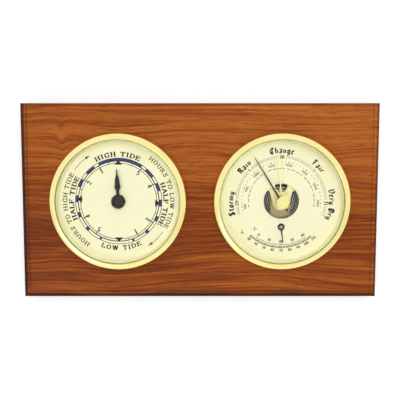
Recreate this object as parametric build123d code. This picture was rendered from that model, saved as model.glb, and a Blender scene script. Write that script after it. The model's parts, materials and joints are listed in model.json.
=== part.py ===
"""Oak wall plaque with a tide clock on the left and an aneroid barometer with a thermometer on the right.

Every piece is drawn lying on its back: +Z points at the viewer, +Y is the plaque's top, and Z = 0 is the
plaque's back face. The last step stands the plaque up: its back lies at Y = 0 and its front faces -Y.
Lengths are in millimetres and dial angles are clockwise from the top.
"""
from build123d import *
import math
import os

# Clearances, and how far a cut runs past a face
FIT = 0.1
RUNNING = 0.05
SNUG = 0.02
CUT = 1.0

# Board
BOARD_WIDTH = 305.0
BOARD_HEIGHT = 167.0
BOARD_THICKNESS = 24.0
EDGE_INSET = 5.2
EDGE_STEP = 1.2
EDGE_ROUND = 4.2
BACK_CHAMFER = 1.0
INSTRUMENT_SPACING = 139.5

# Keyhole hanger
HANGER_WIDTH = 16.0
HANGER_LENGTH = 46.0
HANGER_THICKNESS = 1.5
HANGER_SINK = 0.3
HANGER_DROP = 34.5
HANGER_SCREW_SPACING = 36.0
KEYHOLE_RADIUS = 4.5
KEYHOLE_DROP = 5.0
SLOT_WIDTH = 4.6
SLOT_LENGTH = 11.0
POCKET_DEPTH = 9.0
POCKET_MARGIN = 1.2
WOOD_SCREW_HEAD = 3.0
WOOD_SCREW_SHANK = 1.4
WOOD_SCREW_LENGTH = 12.0

# Bezel, lens and case, alike on both instruments
BEZEL_DIAMETER = 117.0
BEZEL_BAND = 5.9
BEZEL_HEIGHT = 6.4
BEZEL_FOOT = 2.6
BEZEL_NOSE = 1.0
BEZEL_LIP = 1.6
BEZEL_SKIRT = 1.4
LENS_THICKNESS = 2.0
LENS_SEAT = 1.6
REFLECTOR_WALL = 0.7
REFLECTOR_SLOPE = 1.4
CASE_WALL = 0.8
CASE_FLANGE = 1.0
CASE_BACK_GAP = 2.0
CASE_BEAD = 1.5
CASE_BEAD_WIDTH = 2.2
BORE_CLEARANCE = 0.75
GRIP_WIDTH = 9.0
GRIP_RIBS = 3
GRIP_BASE = 0.3
DIAL_THICKNESS = 0.6
DIAL_SETBACK = 3.4

# Tide clock movement
MOVEMENT_SIZE = 56.0
MOVEMENT_DEPTH = 15.0
MOVEMENT_WALL = 1.2
WINDOW_MARGIN = 2.0
WASHER_THICKNESS = 0.8
WASHER_WIDTH = 4.0
BUSHING_RADIUS = 4.0
BUSHING_FLANGE = 2.0
BUSHING_FLANGE_THICKNESS = 1.2
BUSHING_STANDOUT = 0.4
NUT_FLATS = 11.0
NUT_THICKNESS = 1.8
PIPE_RADIUS = 2.0
CENTRE_ARBOR_RADIUS = 0.7
KNOB_ARBOR_RADIUS = 1.0
PIVOT_RADIUS = 0.5
PIVOT_DEPTH = 0.7
BEARING_DEPTH = 0.8
WHEEL_THICKNESS = 0.6
PINION_LENGTH = 1.4
TRAIN_MODULE = 0.2
MOTION_MODULE = 0.3
TRAIN_WHEEL_TEETH = 60
TRAIN_PINION_TEETH = 10
CENTRE_PINION_TEETH = 12
TRANSFER_WHEEL_TEETH = 40
TRANSFER_PINION_TEETH = 11
TIDE_WHEEL_TEETH = 41
CENTRE_WHEEL_LEVEL = 1.6
INTERMEDIATE_LEVEL = 3.6
TRANSFER_LEVEL = 6.0
TIDE_WHEEL_LEVEL = 8.2
TRANSFER_BEARING = 160.0
INTERMEDIATE_BEARING = 40.0
ROTOR_BEARING = 50.0
MAGNET_RADIUS = 3.0
MAGNET_LENGTH = 2.5
MAGNET_LEVEL = 5.6
STATOR_GAP = 0.5
STATOR_RIM = 1.7
STATOR_THICKNESS = 0.8
STATOR_SPAN = 24.0
STATOR_BAR = 3.0
COIL_RADIUS = 3.4
COIL_LENGTH = 16.0
COIL_OFFSET = 11.4
POST_RADIUS = 1.2
CIRCUIT_WIDTH = 16.0
CIRCUIT_HEIGHT = 12.0
CIRCUIT_THICKNESS = 1.0
CIRCUIT_LEVEL = 8.6
CRYSTAL_RADIUS = 1.2
CRYSTAL_LENGTH = 6.0
SETTING_KNOB_RADIUS = 6.0
SETTING_KNOB_HEIGHT = 2.4
SETTING_KNOB_GAP = 0.3
SETTING_KNOB_GRIPS = 20

# Battery
BATTERY_RADIUS = 7.25
BATTERY_LENGTH = 49.5
BATTERY_NUB_RADIUS = 2.6
BATTERY_NUB = 1.0
BATTERY_PLAY = 0.3
CONTACT_THICKNESS = 0.4
CONTACT_WIDTH = 9.0

# Tide hand
TIDE_HAND_ANGLE = -2.3
HAND_GAP = 0.4
HAND_HUB_RADIUS = 6.1
HAND_THICKNESS = 0.8
HAND_CAP_RADIUS = 3.6
HAND_CAP_HEIGHT = 1.4
HAND_OUTLINE = ((0.0, 1.5), (9.6, 1.25), (11.8, 2.55), (15.0, 2.15), (19.4, 1.7), (22.6, 0.75), (27.8, 0.3))

# Aneroid movement
ANEROID_BASE_RADIUS = 36.0
ANEROID_BASE_THICKNESS = 1.2
BASE_SCREW_EDGE = 4.0
BASE_SCREW_COUNT = 3
CAPSULE_RADIUS = 21.0
CAPSULE_STUD_RADIUS = 4.0
CAPSULE_STUD = 0.8
CAPSULE_HEIGHT = 5.0
CAPSULE_RIM = 1.5
CAPSULE_WAVES = 7
CAPSULE_WAVE = 0.4
CAPSULE_BOSS_RADIUS = 3.2
CAPSULE_BOSS = 1.3
SPRING_WIDTH = 17.0
SPRING_THICKNESS = 0.8
SPRING_REACH = 9.6
SPRING_TIP = 6.0
SPRING_TAPER = 8.0
SPRING_BACK = 6.0
SPRING_FOOT = 4.5
LINK_RADIUS = 0.8
LINK_CLEARANCE = 0.1
LINK_ARM = 3.0
LINK_LENGTH = 1.6
LINK_BELOW = 0.2
LINK_TOP_GAP = 0.2
ROCKER_Y = 11.0
ROCKER_RADIUS = 0.7
ROCKER_ABOVE_SPRING = 1.1
ROCKER_HALF_LENGTH = 13.4
ROCKER_LUG_X = 12.5
ROCKER_LUG_WIDTH = 1.2
ROCKER_LUG_DEPTH = 2.8
ROCKER_ARM_WIDTH = 2.2
ROCKER_ARM_THICKNESS = 0.7
ROCKER_PIN_RADIUS = 0.4
ROCKER_PIN_PLAY = 0.125
ROCKER_TO_BRIDGE = 1.1
BRIDGE_THICKNESS = 0.8
BRIDGE_GAP = 2.4
TONGUE_RADIUS = 7.4
TONGUE_CENTRE = -0.6
SHOULDER_X = 9.8
SHOULDER_Y = 8.0
ARM_TOP_X = 6.5
ARM_TOP_Y = 15.5
PILLAR_X = 19.0
PILLAR_Y = 17.0
PILLAR_RADIUS = 2.4
PAD_RADIUS = 4.0
PAD_LEAN_X = 2.4
PAD_LEAN_Y = 3.2
NOTCH_RADIUS = 5.4
NOTCH_Y = 13.0
BRIDGE_SCREW_SHANK = 1.0
BRIDGE_SCREW_HEAD = 2.2
BRIDGE_SCREW_HEAD_HEIGHT = 1.2
BRIDGE_SCREW_BITE = 2.0
SECTOR_MODULE = 0.2
SECTOR_TEETH = 120
POINTER_PINION_TEETH = 10
SECTOR_THICKNESS = 0.6
SECTOR_LIFT = 0.5
SECTOR_HUB = 1.6
SECTOR_TAIL = 2.0
SECTOR_TAIL_END = 1.3
SECTOR_TAIL_WIDTH = 2.8
SECTOR_FIRST_TOOTH = -8
SECTOR_LAST_TOOTH = 6
POINTER_ARBOR_RADIUS = 0.8
HAIRSPRING_TURNS = 4
HAIRSPRING_FIRST = 2.0
HAIRSPRING_PITCH = 0.9
HAIRSPRING_STRIP = 0.15
HAIRSPRING_WIDTH = 0.5
HAIRSPRING_LIFT = 0.3
COLLET_RADIUS = 1.5
STUD_SIZE = 1.2
ADJUSTER_RADIUS = 2.5
ADJUSTER_HOLE = 4.0
ADJUSTER_STANDOUT = 0.4
DRIVER_SLOT = 0.8

# Barometer dial and pointers
APERTURE_RADIUS = 15.2
POINTER_ANGLE = -31.8
POINTER_LENGTH = 43.8
POINTER_TAIL = 10.0
POINTER_HUB_RADIUS = 2.4
POINTER_ROOT = 0.75
POINTER_TIP = 0.28
POINTER_THICKNESS = 0.4
POINTER_LIFT = 2.0
POINTER_HUB_HEIGHT = 0.8
SET_HAND_ANGLE = -5.5
SET_HAND_LENGTH = 38.0
SET_HAND_HUB = 2.8
SET_HAND_ROOT = 0.6
SET_HAND_TIP = 0.3
SET_HAND_THICKNESS = 0.5
SET_SPRING_HEIGHT = 1.4
SET_SPRING_RADIUS = 3.0
SET_ARBOR_RADIUS = 1.2
SET_KNOB_RADIUS = 5.4
SET_KNOB_HEIGHT = 8.0
SET_KNOB_HEAD = 3.6
SET_KNOB_NECK = 2.6
SET_KNOB_FOOT = 3.4
SET_KNOB_GAP = 0.2
SET_KNOB_GRIPS = 36
SET_KNOB_ROUND = 1.0
GRIP_GROOVE = 0.22

# Thermometer
THERMOMETER_DROP = 22.1
THERMOMETER_ANGLE = 173.0
THERMOMETER_LENGTH = 14.2
THERMOMETER_WAIST = 9.4
THERMOMETER_RING = 3.0
THERMOMETER_CAP = 1.5
THERMOMETER_CAP_HEIGHT = 1.2
THERMOMETER_ARBOR = 0.6
THERMOMETER_LIFT = 0.8
THERMOMETER_ROOT = 0.8
THERMOMETER_TIP = 0.25
THERMOMETER_THICKNESS = 0.4
BRACKET_HALF_SPAN = 10.0
BRACKET_WIDTH = 7.0
BRACKET_THICKNESS = 0.8
BRACKET_DEPTH = 6.0
BRACKET_TAB = 4.0
BIMETAL_TURNS = 5
BIMETAL_FIRST = 2.2
BIMETAL_PITCH = 1.2
BIMETAL_STRIP = 0.4
BIMETAL_WIDTH = 2.5
BIMETAL_GAP = 0.8

# Gear tooth shape: root, pitch and tip thickness in pitches, then addendum and dedendum in modules
WHEEL_TOOTH = (0.50, 0.44, 0.20, 0.95, 1.25)
PINION_LEAF = (0.44, 0.38, 0.18, 0.80, 1.30)

# Levels and radii that follow from the sizes above
FACE = BOARD_THICKNESS
HANGER_RISE = BOARD_HEIGHT / 2 - HANGER_DROP
BEZEL_RADIUS = BEZEL_DIAMETER / 2
OPENING_RADIUS = BEZEL_RADIUS - BEZEL_BAND
LENS_RADIUS = OPENING_RADIUS + LENS_SEAT
SKIRT_RADIUS = BEZEL_RADIUS - BEZEL_SKIRT
BEZEL_TOP = FACE + BEZEL_HEIGHT
LENS_FRONT = BEZEL_TOP - BEZEL_LIP
LENS_BACK = LENS_FRONT - LENS_THICKNESS
FLANGE_TOP = FACE + CASE_FLANGE
FLANGE_RADIUS = SKIRT_RADIUS - FIT
REFLECTOR_RADIUS = OPENING_RADIUS + REFLECTOR_WALL
CASE_INSIDE = REFLECTOR_RADIUS + FIT
CASE_RADIUS = CASE_INSIDE + CASE_WALL
BORE_RADIUS = CASE_RADIUS + BORE_CLEARANCE
CASE_BACK = CASE_BACK_GAP + CASE_WALL
DIAL_FRONT = FACE - DIAL_SETBACK
DIAL_BACK = DIAL_FRONT - DIAL_THICKNESS
DIAL_RADIUS = CASE_INSIDE - FIT
DIAL_VIEW_RADIUS = OPENING_RADIUS - REFLECTOR_SLOPE
MOVEMENT_FRONT = DIAL_BACK - WASHER_THICKNESS
MOVEMENT_BACK = MOVEMENT_FRONT - MOVEMENT_DEPTH
TRAIN_FRONT = MOVEMENT_FRONT - MOVEMENT_WALL
TRAIN_BACK = MOVEMENT_BACK + MOVEMENT_WALL
BAY_HALF = MOVEMENT_SIZE / 2 - MOVEMENT_WALL
BATTERY_Y = -BAY_HALF + BATTERY_PLAY + BATTERY_RADIUS
BATTERY_Z = TRAIN_FRONT - BATTERY_PLAY - BATTERY_RADIUS
BAY_TOP = BATTERY_Y + BATTERY_RADIUS + BATTERY_PLAY
BUSHING_END = DIAL_FRONT + NUT_THICKNESS + BUSHING_STANDOUT
HAND_BACK = BUSHING_END + HAND_GAP
HAND_FRONT = HAND_BACK + HAND_THICKNESS
BASE_SCREW_RADIUS = ANEROID_BASE_RADIUS - BASE_SCREW_EDGE
ANEROID_BASE_TOP = CASE_BACK + ANEROID_BASE_THICKNESS
CAPSULE_BACK = ANEROID_BASE_TOP + CAPSULE_STUD
CAPSULE_FRONT = CAPSULE_BACK + CAPSULE_HEIGHT
SPRING_BACK_FACE = CAPSULE_FRONT + CAPSULE_BOSS
SPRING_FRONT_FACE = SPRING_BACK_FACE + SPRING_THICKNESS
ROCKER_Z = SPRING_FRONT_FACE + ROCKER_ABOVE_SPRING
LOWER_BRIDGE_BACK = ROCKER_Z + ROCKER_TO_BRIDGE
LOWER_BRIDGE_FRONT = LOWER_BRIDGE_BACK + BRIDGE_THICKNESS
UPPER_BRIDGE_BACK = LOWER_BRIDGE_FRONT + BRIDGE_GAP
UPPER_BRIDGE_FRONT = UPPER_BRIDGE_BACK + BRIDGE_THICKNESS
SECTOR_BACK = LOWER_BRIDGE_FRONT + SECTOR_LIFT
SECTOR_FRONT = SECTOR_BACK + SECTOR_THICKNESS
SECTOR_DISTANCE = SECTOR_MODULE * (SECTOR_TEETH + POINTER_PINION_TEETH) / 2
SECTOR_X = -math.sqrt(SECTOR_DISTANCE ** 2 - ROCKER_Y ** 2)
HAIRSPRING_BACK = SECTOR_FRONT + HAIRSPRING_LIFT
POINTER_BACK = DIAL_FRONT + POINTER_LIFT
SET_HAND_FRONT = LENS_BACK - SET_SPRING_HEIGHT
SET_HAND_BACK = SET_HAND_FRONT - SET_HAND_THICKNESS
THERMOMETER_BACK = DIAL_FRONT + THERMOMETER_LIFT
BRACKET_BACK = DIAL_BACK - BRACKET_DEPTH


def disc(radius, back, front, x=0.0, y=0.0):
    """A round plate or rod along Z."""
    return Pos(x, y, (back + front) / 2) * Cylinder(radius, front - back)


def ring(outer, inner, back, front, x=0.0, y=0.0):
    """A round plate with a round hole."""
    return disc(outer, back, front, x, y) - disc(inner, back - CUT, front + CUT, x, y)


def block(x0, x1, y0, y1, z0, z1):
    """A box between its faces."""
    return Pos((x0 + x1) / 2, (y0 + y1) / 2, (z0 + z1) / 2) * Box(x1 - x0, y1 - y0, z1 - z0)


def turned(points):
    """A solid of revolution about Z from corners given as radius and height."""
    return revolve(make_face(Plane.XZ * Polyline(*points, close=True)), Axis.Z, 360)


def plate(points, back, front):
    """A flat plate along Z from the corners of its outline."""
    outline = Pos(0, 0, back) * make_face(Polyline(*points, close=True))
    return extrude(outline, amount=front - back, dir=(0, 0, 1))


def polar(radius, degrees, x=0.0, y=0.0):
    """A point at a distance and a counterclockwise angle from a centre."""
    turn = math.radians(degrees)
    return (x + radius * math.cos(turn), y + radius * math.sin(turn))


def tooth_points(radius, module, angle, step, shape):
    """The six corners of one gear tooth."""
    root, pitch, tip, addendum, dedendum = shape
    low = radius - dedendum * module
    high = radius + addendum * module
    corners = ((low, -root), (radius, -pitch), (high, -tip), (high, tip), (radius, pitch), (low, root))
    return [polar(r, angle + share / 2 * step) for r, share in corners]


def gear(teeth, module, shape, phase, back, front, x=0.0, y=0.0):
    """A spur gear whose first tooth points along the angle phase."""
    step = 360 / teeth
    points = []
    for i in range(teeth):
        points += tooth_points(teeth * module / 2, module, phase + i * step, step, shape)
    return Pos(x, y, 0) * plate(points, back, front)


def meshed(bearing, driver_teeth, driver_phase, driven_teeth):
    """The phase of a gear that meshes with a driver, seen from the driver at the angle bearing."""
    share = ((bearing - driver_phase) * driver_teeth / 360) % 1
    return bearing + 180 + (share + 0.5) * 360 / driven_teeth


def needle(outline, back, front, angle):
    """A flat hand along its dial angle from pairs of distance and half width."""
    left = [(-half, distance) for distance, half in outline]
    right = [(half, distance) for distance, half in reversed(outline)]
    return Rot(0, 0, -angle) * plate(left + right, back, front)


def spiral(first, pitch, turns, strip, back, front):
    """A flat strip wound outwards in half circles. Both of its ends lie on +X."""
    edges = []
    for i in range(2 * turns):
        for side in (-strip / 2, strip / 2):
            radius = first + i * pitch / 2 + side
            edges.append(CenterArc(((i % 2) * pitch / 2, 0), radius, (i % 2) * 180, 180))
    for radius in (first, first + turns * pitch):
        edges.append(Line((radius - strip / 2, 0), (radius + strip / 2, 0)))
    return extrude(Pos(0, 0, back) * make_face(edges), amount=front - back, dir=(0, 0, 1))


def knurled(radius, back, front, grips, groove):
    """A round knob with shallow grooves along its rim."""
    body = disc(radius, back, front)
    for i in range(grips):
        body -= disc(2 * groove, back - CUT, front + CUT, *polar(radius + groove, i * 360 / grips))
    return body


def wood_screw(x, y, back):
    """A countersunk screw with its slotted head at the back."""
    cone = WOOD_SCREW_HEAD - WOOD_SCREW_SHANK
    body = turned([(0, 0), (WOOD_SCREW_HEAD, 0), (WOOD_SCREW_SHANK, cone),
                   (WOOD_SCREW_SHANK, WOOD_SCREW_LENGTH), (0, WOOD_SCREW_LENGTH + WOOD_SCREW_SHANK)])
    slot = block(-WOOD_SCREW_HEAD, WOOD_SCREW_HEAD, -DRIVER_SLOT / 2, DRIVER_SLOT / 2, -CUT, cone / 2)
    return Pos(x, y, back) * (body - slot)


def wood_screw_hole(y):
    """The countersunk hole that a hanger screw fills in the plate and in the board."""
    head = WOOD_SCREW_HEAD + RUNNING
    shank = WOOD_SCREW_SHANK + RUNNING
    end = WOOD_SCREW_LENGTH + WOOD_SCREW_HEAD
    hole = turned([(0, 0), (head, 0), (shank, head - shank), (shank, end), (0, end)])
    return Pos(0, y, HANGER_SINK) * hole


def pan_screw(x, y, seat, shank, side):
    """A slotted pan screw whose head sits on the level seat, in front of it or behind it as side says."""
    head = disc(BRIDGE_SCREW_HEAD, 0, BRIDGE_SCREW_HEAD_HEIGHT)
    slot = block(-BRIDGE_SCREW_HEAD, BRIDGE_SCREW_HEAD, -DRIVER_SLOT / 2, DRIVER_SLOT / 2,
                 BRIDGE_SCREW_HEAD_HEIGHT / 2, BRIDGE_SCREW_HEAD_HEIGHT + CUT)
    body = head - slot + disc(BRIDGE_SCREW_SHANK, -shank, 0)
    return Pos(x, y, seat) * (body if side > 0 else Rot(180, 0, 0) * body)


def oak_board():
    """The board with its stepped and rounded edge, two bores and the pocket for the hanger."""
    slab = block(-BOARD_WIDTH / 2, BOARD_WIDTH / 2, -BOARD_HEIGHT / 2, BOARD_HEIGHT / 2,
                 0, FACE - EDGE_STEP)
    slab = fillet(slab.faces().sort_by(Axis.Z)[-1].edges(), EDGE_ROUND)
    slab = chamfer(slab.faces().sort_by(Axis.Z)[0].edges(), BACK_CHAMFER)
    half_width = BOARD_WIDTH / 2 - EDGE_INSET
    half_height = BOARD_HEIGHT / 2 - EDGE_INSET
    board = slab + block(-half_width, half_width, -half_height, half_height, FACE - EDGE_STEP - CUT, FACE)
    for x in (-INSTRUMENT_SPACING / 2, INSTRUMENT_SPACING / 2):
        board -= disc(BORE_RADIUS, -CUT, FACE + CUT, x, 0)
    seat = HANGER_SINK + HANGER_THICKNESS
    board -= hanger_outline(-CUT, seat, FIT)
    entry = HANGER_RISE - KEYHOLE_DROP
    pocket = KEYHOLE_RADIUS + POCKET_MARGIN
    board -= disc(pocket, 0, seat + POCKET_DEPTH, 0, entry)
    board -= disc(pocket, 0, seat + POCKET_DEPTH, 0, entry + SLOT_LENGTH)
    board -= block(-pocket, pocket, entry, entry + SLOT_LENGTH, 0, seat + POCKET_DEPTH)
    for y in hanger_screw_heights():
        board -= wood_screw_hole(y)
    return board


def hanger_screw_heights():
    """The two heights of the hanger's screws."""
    return (HANGER_RISE - HANGER_SCREW_SPACING / 2, HANGER_RISE + HANGER_SCREW_SPACING / 2)


def hanger_outline(back, front, margin):
    """The round-ended outline of the hanger plate, grown by a margin."""
    half = HANGER_WIDTH / 2
    reach = HANGER_LENGTH / 2 - half
    body = block(-half - margin, half + margin, HANGER_RISE - reach, HANGER_RISE + reach, back, front)
    for y in (HANGER_RISE - reach, HANGER_RISE + reach):
        body += disc(half + margin, back, front, 0, y)
    return body


def hanger():
    """The keyhole plate and its two screws."""
    front = HANGER_SINK + HANGER_THICKNESS
    entry = HANGER_RISE - KEYHOLE_DROP
    body = hanger_outline(HANGER_SINK, front, 0)
    body -= disc(KEYHOLE_RADIUS, 0, front + CUT, 0, entry)
    body -= block(-SLOT_WIDTH / 2, SLOT_WIDTH / 2, entry, entry + SLOT_LENGTH, 0, front + CUT)
    body -= disc(SLOT_WIDTH / 2, 0, front + CUT, 0, entry + SLOT_LENGTH)
    for y in hanger_screw_heights():
        body -= wood_screw_hole(y)
    screws = [wood_screw(0, y, HANGER_SINK) for y in hanger_screw_heights()]
    return {"hanger_plate": body, "hanger_screws": screws}


def bezel():
    """The turned brass bezel: a straight foot, an elliptical shoulder and a rounded nose over the lens."""
    crest = OPENING_RADIUS + BEZEL_NOSE
    lens_pocket = LENS_RADIUS + FIT
    edges = [
        Line((SKIRT_RADIUS, FACE), (BEZEL_RADIUS, FACE)),
        Line((BEZEL_RADIUS, FACE), (BEZEL_RADIUS, FACE + BEZEL_FOOT)),
        EllipticalCenterArc((crest, FACE + BEZEL_FOOT), BEZEL_RADIUS - crest, BEZEL_HEIGHT - BEZEL_FOOT,
                            start_angle=0, arc_size=90),
        CenterArc((crest, BEZEL_TOP - BEZEL_NOSE), BEZEL_NOSE, 90, 90),
        Polyline((OPENING_RADIUS, BEZEL_TOP - BEZEL_NOSE), (OPENING_RADIUS, LENS_FRONT),
                 (lens_pocket, LENS_FRONT), (lens_pocket, LENS_BACK), (SKIRT_RADIUS, LENS_BACK),
                 (SKIRT_RADIUS, FACE)),
    ]
    return revolve(make_face([Plane.XZ * edge for edge in edges]), Axis.Z, 360)


def reflector():
    """The sloped ring that stands on the dial's rim and carries the lens."""
    return turned([(DIAL_VIEW_RADIUS, DIAL_FRONT), (REFLECTOR_RADIUS, DIAL_FRONT),
                   (REFLECTOR_RADIUS, FLANGE_TOP), (FLANGE_RADIUS, FLANGE_TOP), (FLANGE_RADIUS, LENS_BACK),
                   (OPENING_RADIUS, LENS_BACK)])


def case_cup():
    """The drum with its flange on the board and the bead that carries the dial."""
    bead = CASE_INSIDE - CASE_BEAD_WIDTH
    return turned([
        (0, CASE_BACK_GAP), (CASE_RADIUS, CASE_BACK_GAP), (CASE_RADIUS, FACE), (FLANGE_RADIUS, FACE),
        (FLANGE_RADIUS, FLANGE_TOP), (CASE_INSIDE, FLANGE_TOP), (CASE_INSIDE, DIAL_BACK), (bead, DIAL_BACK),
        (bead, DIAL_BACK - CASE_BEAD), (CASE_INSIDE, DIAL_BACK - CASE_BEAD), (CASE_INSIDE, CASE_BACK),
        (0, CASE_BACK)])


def grip_ring():
    """The ribbed rubber ring between the drum and the board's bore."""
    inner = CASE_RADIUS + RUNNING
    base = inner + GRIP_BASE
    tip = BORE_RADIUS - RUNNING
    middle = (CASE_BACK_GAP + FACE) / 2
    pitch = GRIP_WIDTH / GRIP_RIBS
    points = [(inner, middle - GRIP_WIDTH / 2)]
    for i in range(GRIP_RIBS):
        low = middle - GRIP_WIDTH / 2 + i * pitch
        points += [(base, low), (tip, low + pitch / 2)]
    points += [(base, middle + GRIP_WIDTH / 2), (inner, middle + GRIP_WIDTH / 2)]
    return turned(points)


def tide_shell():
    """The tide clock's drum, dial, lens and bezel."""
    window = MOVEMENT_SIZE / 2 + WINDOW_MARGIN
    case = case_cup() - block(-window, window, -window, window, 0, CASE_BACK + CUT)
    dial = ring(DIAL_RADIUS, BUSHING_RADIUS + FIT, DIAL_BACK, DIAL_FRONT)
    lens = disc(LENS_RADIUS, LENS_BACK, LENS_FRONT)
    return {"tide_case": case, "tide_grip_ring": grip_ring(), "tide_dial": dial,
            "tide_reflector_ring": reflector(), "tide_lens": lens, "tide_bezel": bezel()}


def arbor(x, y):
    """A train arbor whose two ends run in the movement's walls."""
    return disc(PIVOT_RADIUS, TRAIN_BACK - PIVOT_DEPTH, TRAIN_FRONT + PIVOT_DEPTH, x, y)


TRAIN_DISTANCE = TRAIN_MODULE * (TRAIN_WHEEL_TEETH + TRAIN_PINION_TEETH) / 2
MOTION_DISTANCE = MOTION_MODULE * (CENTRE_PINION_TEETH + TRANSFER_WHEEL_TEETH) / 2
INTERMEDIATE_AT = polar(TRAIN_DISTANCE, INTERMEDIATE_BEARING)
ROTOR_AT = polar(TRAIN_DISTANCE, ROTOR_BEARING, *INTERMEDIATE_AT)
TRANSFER_AT = polar(MOTION_DISTANCE, TRANSFER_BEARING)
STATOR_BACK = TRAIN_BACK + MAGNET_LEVEL + (MAGNET_LENGTH - STATOR_THICKNESS) / 2
STATOR_FRONT = STATOR_BACK + STATOR_THICKNESS
COIL_Y = ROTOR_AT[1] + COIL_OFFSET
CIRCUIT_LEFT = -BAY_HALF + FIT
CIRCUIT_TOP = BAY_HALF - FIT
CIRCUIT_BACK = TRAIN_BACK + CIRCUIT_LEVEL
CIRCUIT_FRONT = CIRCUIT_BACK + CIRCUIT_THICKNESS


def stator_legs():
    """The two places where posts carry the stator."""
    reach = (STATOR_SPAN - STATOR_BAR) / 2
    return [(ROTOR_AT[0] + side * reach, COIL_Y) for side in (-1, 1)]


def circuit_posts():
    """The two places where posts carry the circuit board."""
    y = CIRCUIT_TOP - CIRCUIT_HEIGHT / 2
    return [(CIRCUIT_LEFT + 2 * POST_RADIUS, y), (CIRCUIT_LEFT + CIRCUIT_WIDTH - 2 * POST_RADIUS, y)]


def movement_housing():
    """The tray with its battery bay and posts, and the cover over the wheels."""
    half = MOVEMENT_SIZE / 2
    base = block(-half, half, -half, half, TRAIN_BACK, MOVEMENT_FRONT)
    base -= block(-BAY_HALF, BAY_HALF, BAY_TOP + MOVEMENT_WALL, BAY_HALF, TRAIN_BACK - CUT, TRAIN_FRONT)
    base -= block(-BAY_HALF, BAY_HALF, -BAY_HALF, BAY_TOP, TRAIN_BACK - CUT, TRAIN_FRONT)
    for x, y in stator_legs():
        base += disc(POST_RADIUS, STATOR_FRONT, TRAIN_FRONT + MOVEMENT_WALL / 2, x, y)
    for x, y in circuit_posts():
        base += disc(POST_RADIUS, CIRCUIT_FRONT, TRAIN_FRONT + MOVEMENT_WALL / 2, x, y)
    cover = block(-half, half, BAY_TOP, half, MOVEMENT_BACK, TRAIN_BACK)
    for x, y in (INTERMEDIATE_AT, ROTOR_AT, TRANSFER_AT):
        hole = PIVOT_RADIUS + RUNNING
        base -= disc(hole, TRAIN_FRONT - CUT, TRAIN_FRONT + BEARING_DEPTH, x, y)
        cover -= disc(hole, TRAIN_BACK - BEARING_DEPTH, TRAIN_BACK + CUT, x, y)
    base -= disc(BUSHING_RADIUS + SNUG, 0, FACE, 0, 0)
    cover -= disc(KNOB_ARBOR_RADIUS + RUNNING, 0, FACE, 0, 0)
    return {"movement_base": base, "movement_cover": cover}


def movement_front():
    """The post, washer and nut that hold the movement to the dial."""
    bore = PIPE_RADIUS + RUNNING
    flange = BUSHING_RADIUS + BUSHING_FLANGE
    bushing = ring(BUSHING_RADIUS, bore, TRAIN_FRONT - BUSHING_FLANGE_THICKNESS, BUSHING_END)
    bushing += ring(flange, bore, TRAIN_FRONT - BUSHING_FLANGE_THICKNESS, TRAIN_FRONT)
    nut_radius = NUT_FLATS / math.sqrt(3)
    nut = plate([polar(nut_radius, 60 * i) for i in range(6)], DIAL_FRONT, DIAL_FRONT + NUT_THICKNESS)
    nut -= disc(BUSHING_RADIUS + SNUG, DIAL_BACK, BUSHING_END)
    washer = ring(BUSHING_RADIUS + WASHER_WIDTH, BUSHING_RADIUS + SNUG, MOVEMENT_FRONT, DIAL_BACK)
    return {"centre_bushing": bushing, "bushing_nut": nut, "dial_washer": washer}


def movement_drive():
    """The circuit, the coil on its stator and the battery with its contacts."""
    board = block(CIRCUIT_LEFT, CIRCUIT_LEFT + CIRCUIT_WIDTH, CIRCUIT_TOP - CIRCUIT_HEIGHT, CIRCUIT_TOP,
                  CIRCUIT_BACK, CIRCUIT_FRONT)
    crystal = Rot(0, 90, 0) * Cylinder(CRYSTAL_RADIUS, CRYSTAL_LENGTH)
    crystal = Pos(CIRCUIT_LEFT + CIRCUIT_WIDTH / 2, CIRCUIT_TOP - CIRCUIT_HEIGHT / 2,
                  CIRCUIT_BACK - CRYSTAL_RADIUS - SNUG) * crystal
    x, y = ROTOR_AT
    half = STATOR_SPAN / 2
    inside = half - STATOR_BAR
    core = STATOR_BAR / 2
    rim = MAGNET_RADIUS + STATOR_GAP + STATOR_RIM
    stator = block(x - half, x + half, y - core, COIL_Y + core, STATOR_BACK, STATOR_FRONT)
    stator -= block(x - inside, x + inside, y + core, COIL_Y - core, STATOR_BACK - CUT, STATOR_FRONT + CUT)
    stator += disc(rim, STATOR_BACK, STATOR_FRONT, x, y)
    stator -= disc(MAGNET_RADIUS + STATOR_GAP, STATOR_BACK - CUT, STATOR_FRONT + CUT, x, y)
    middle = (STATOR_BACK + STATOR_FRONT) / 2
    coil = Pos(x, COIL_Y, middle) * (Rot(0, 90, 0) * Cylinder(COIL_RADIUS, COIL_LENGTH))
    coil -= block(x - half, x + half, COIL_Y - core - SNUG, COIL_Y + core + SNUG,
                  STATOR_BACK - SNUG, STATOR_FRONT + SNUG)
    return {"circuit_board": board, "quartz_crystal": crystal, "stator": stator, "drive_coil": coil}


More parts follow.
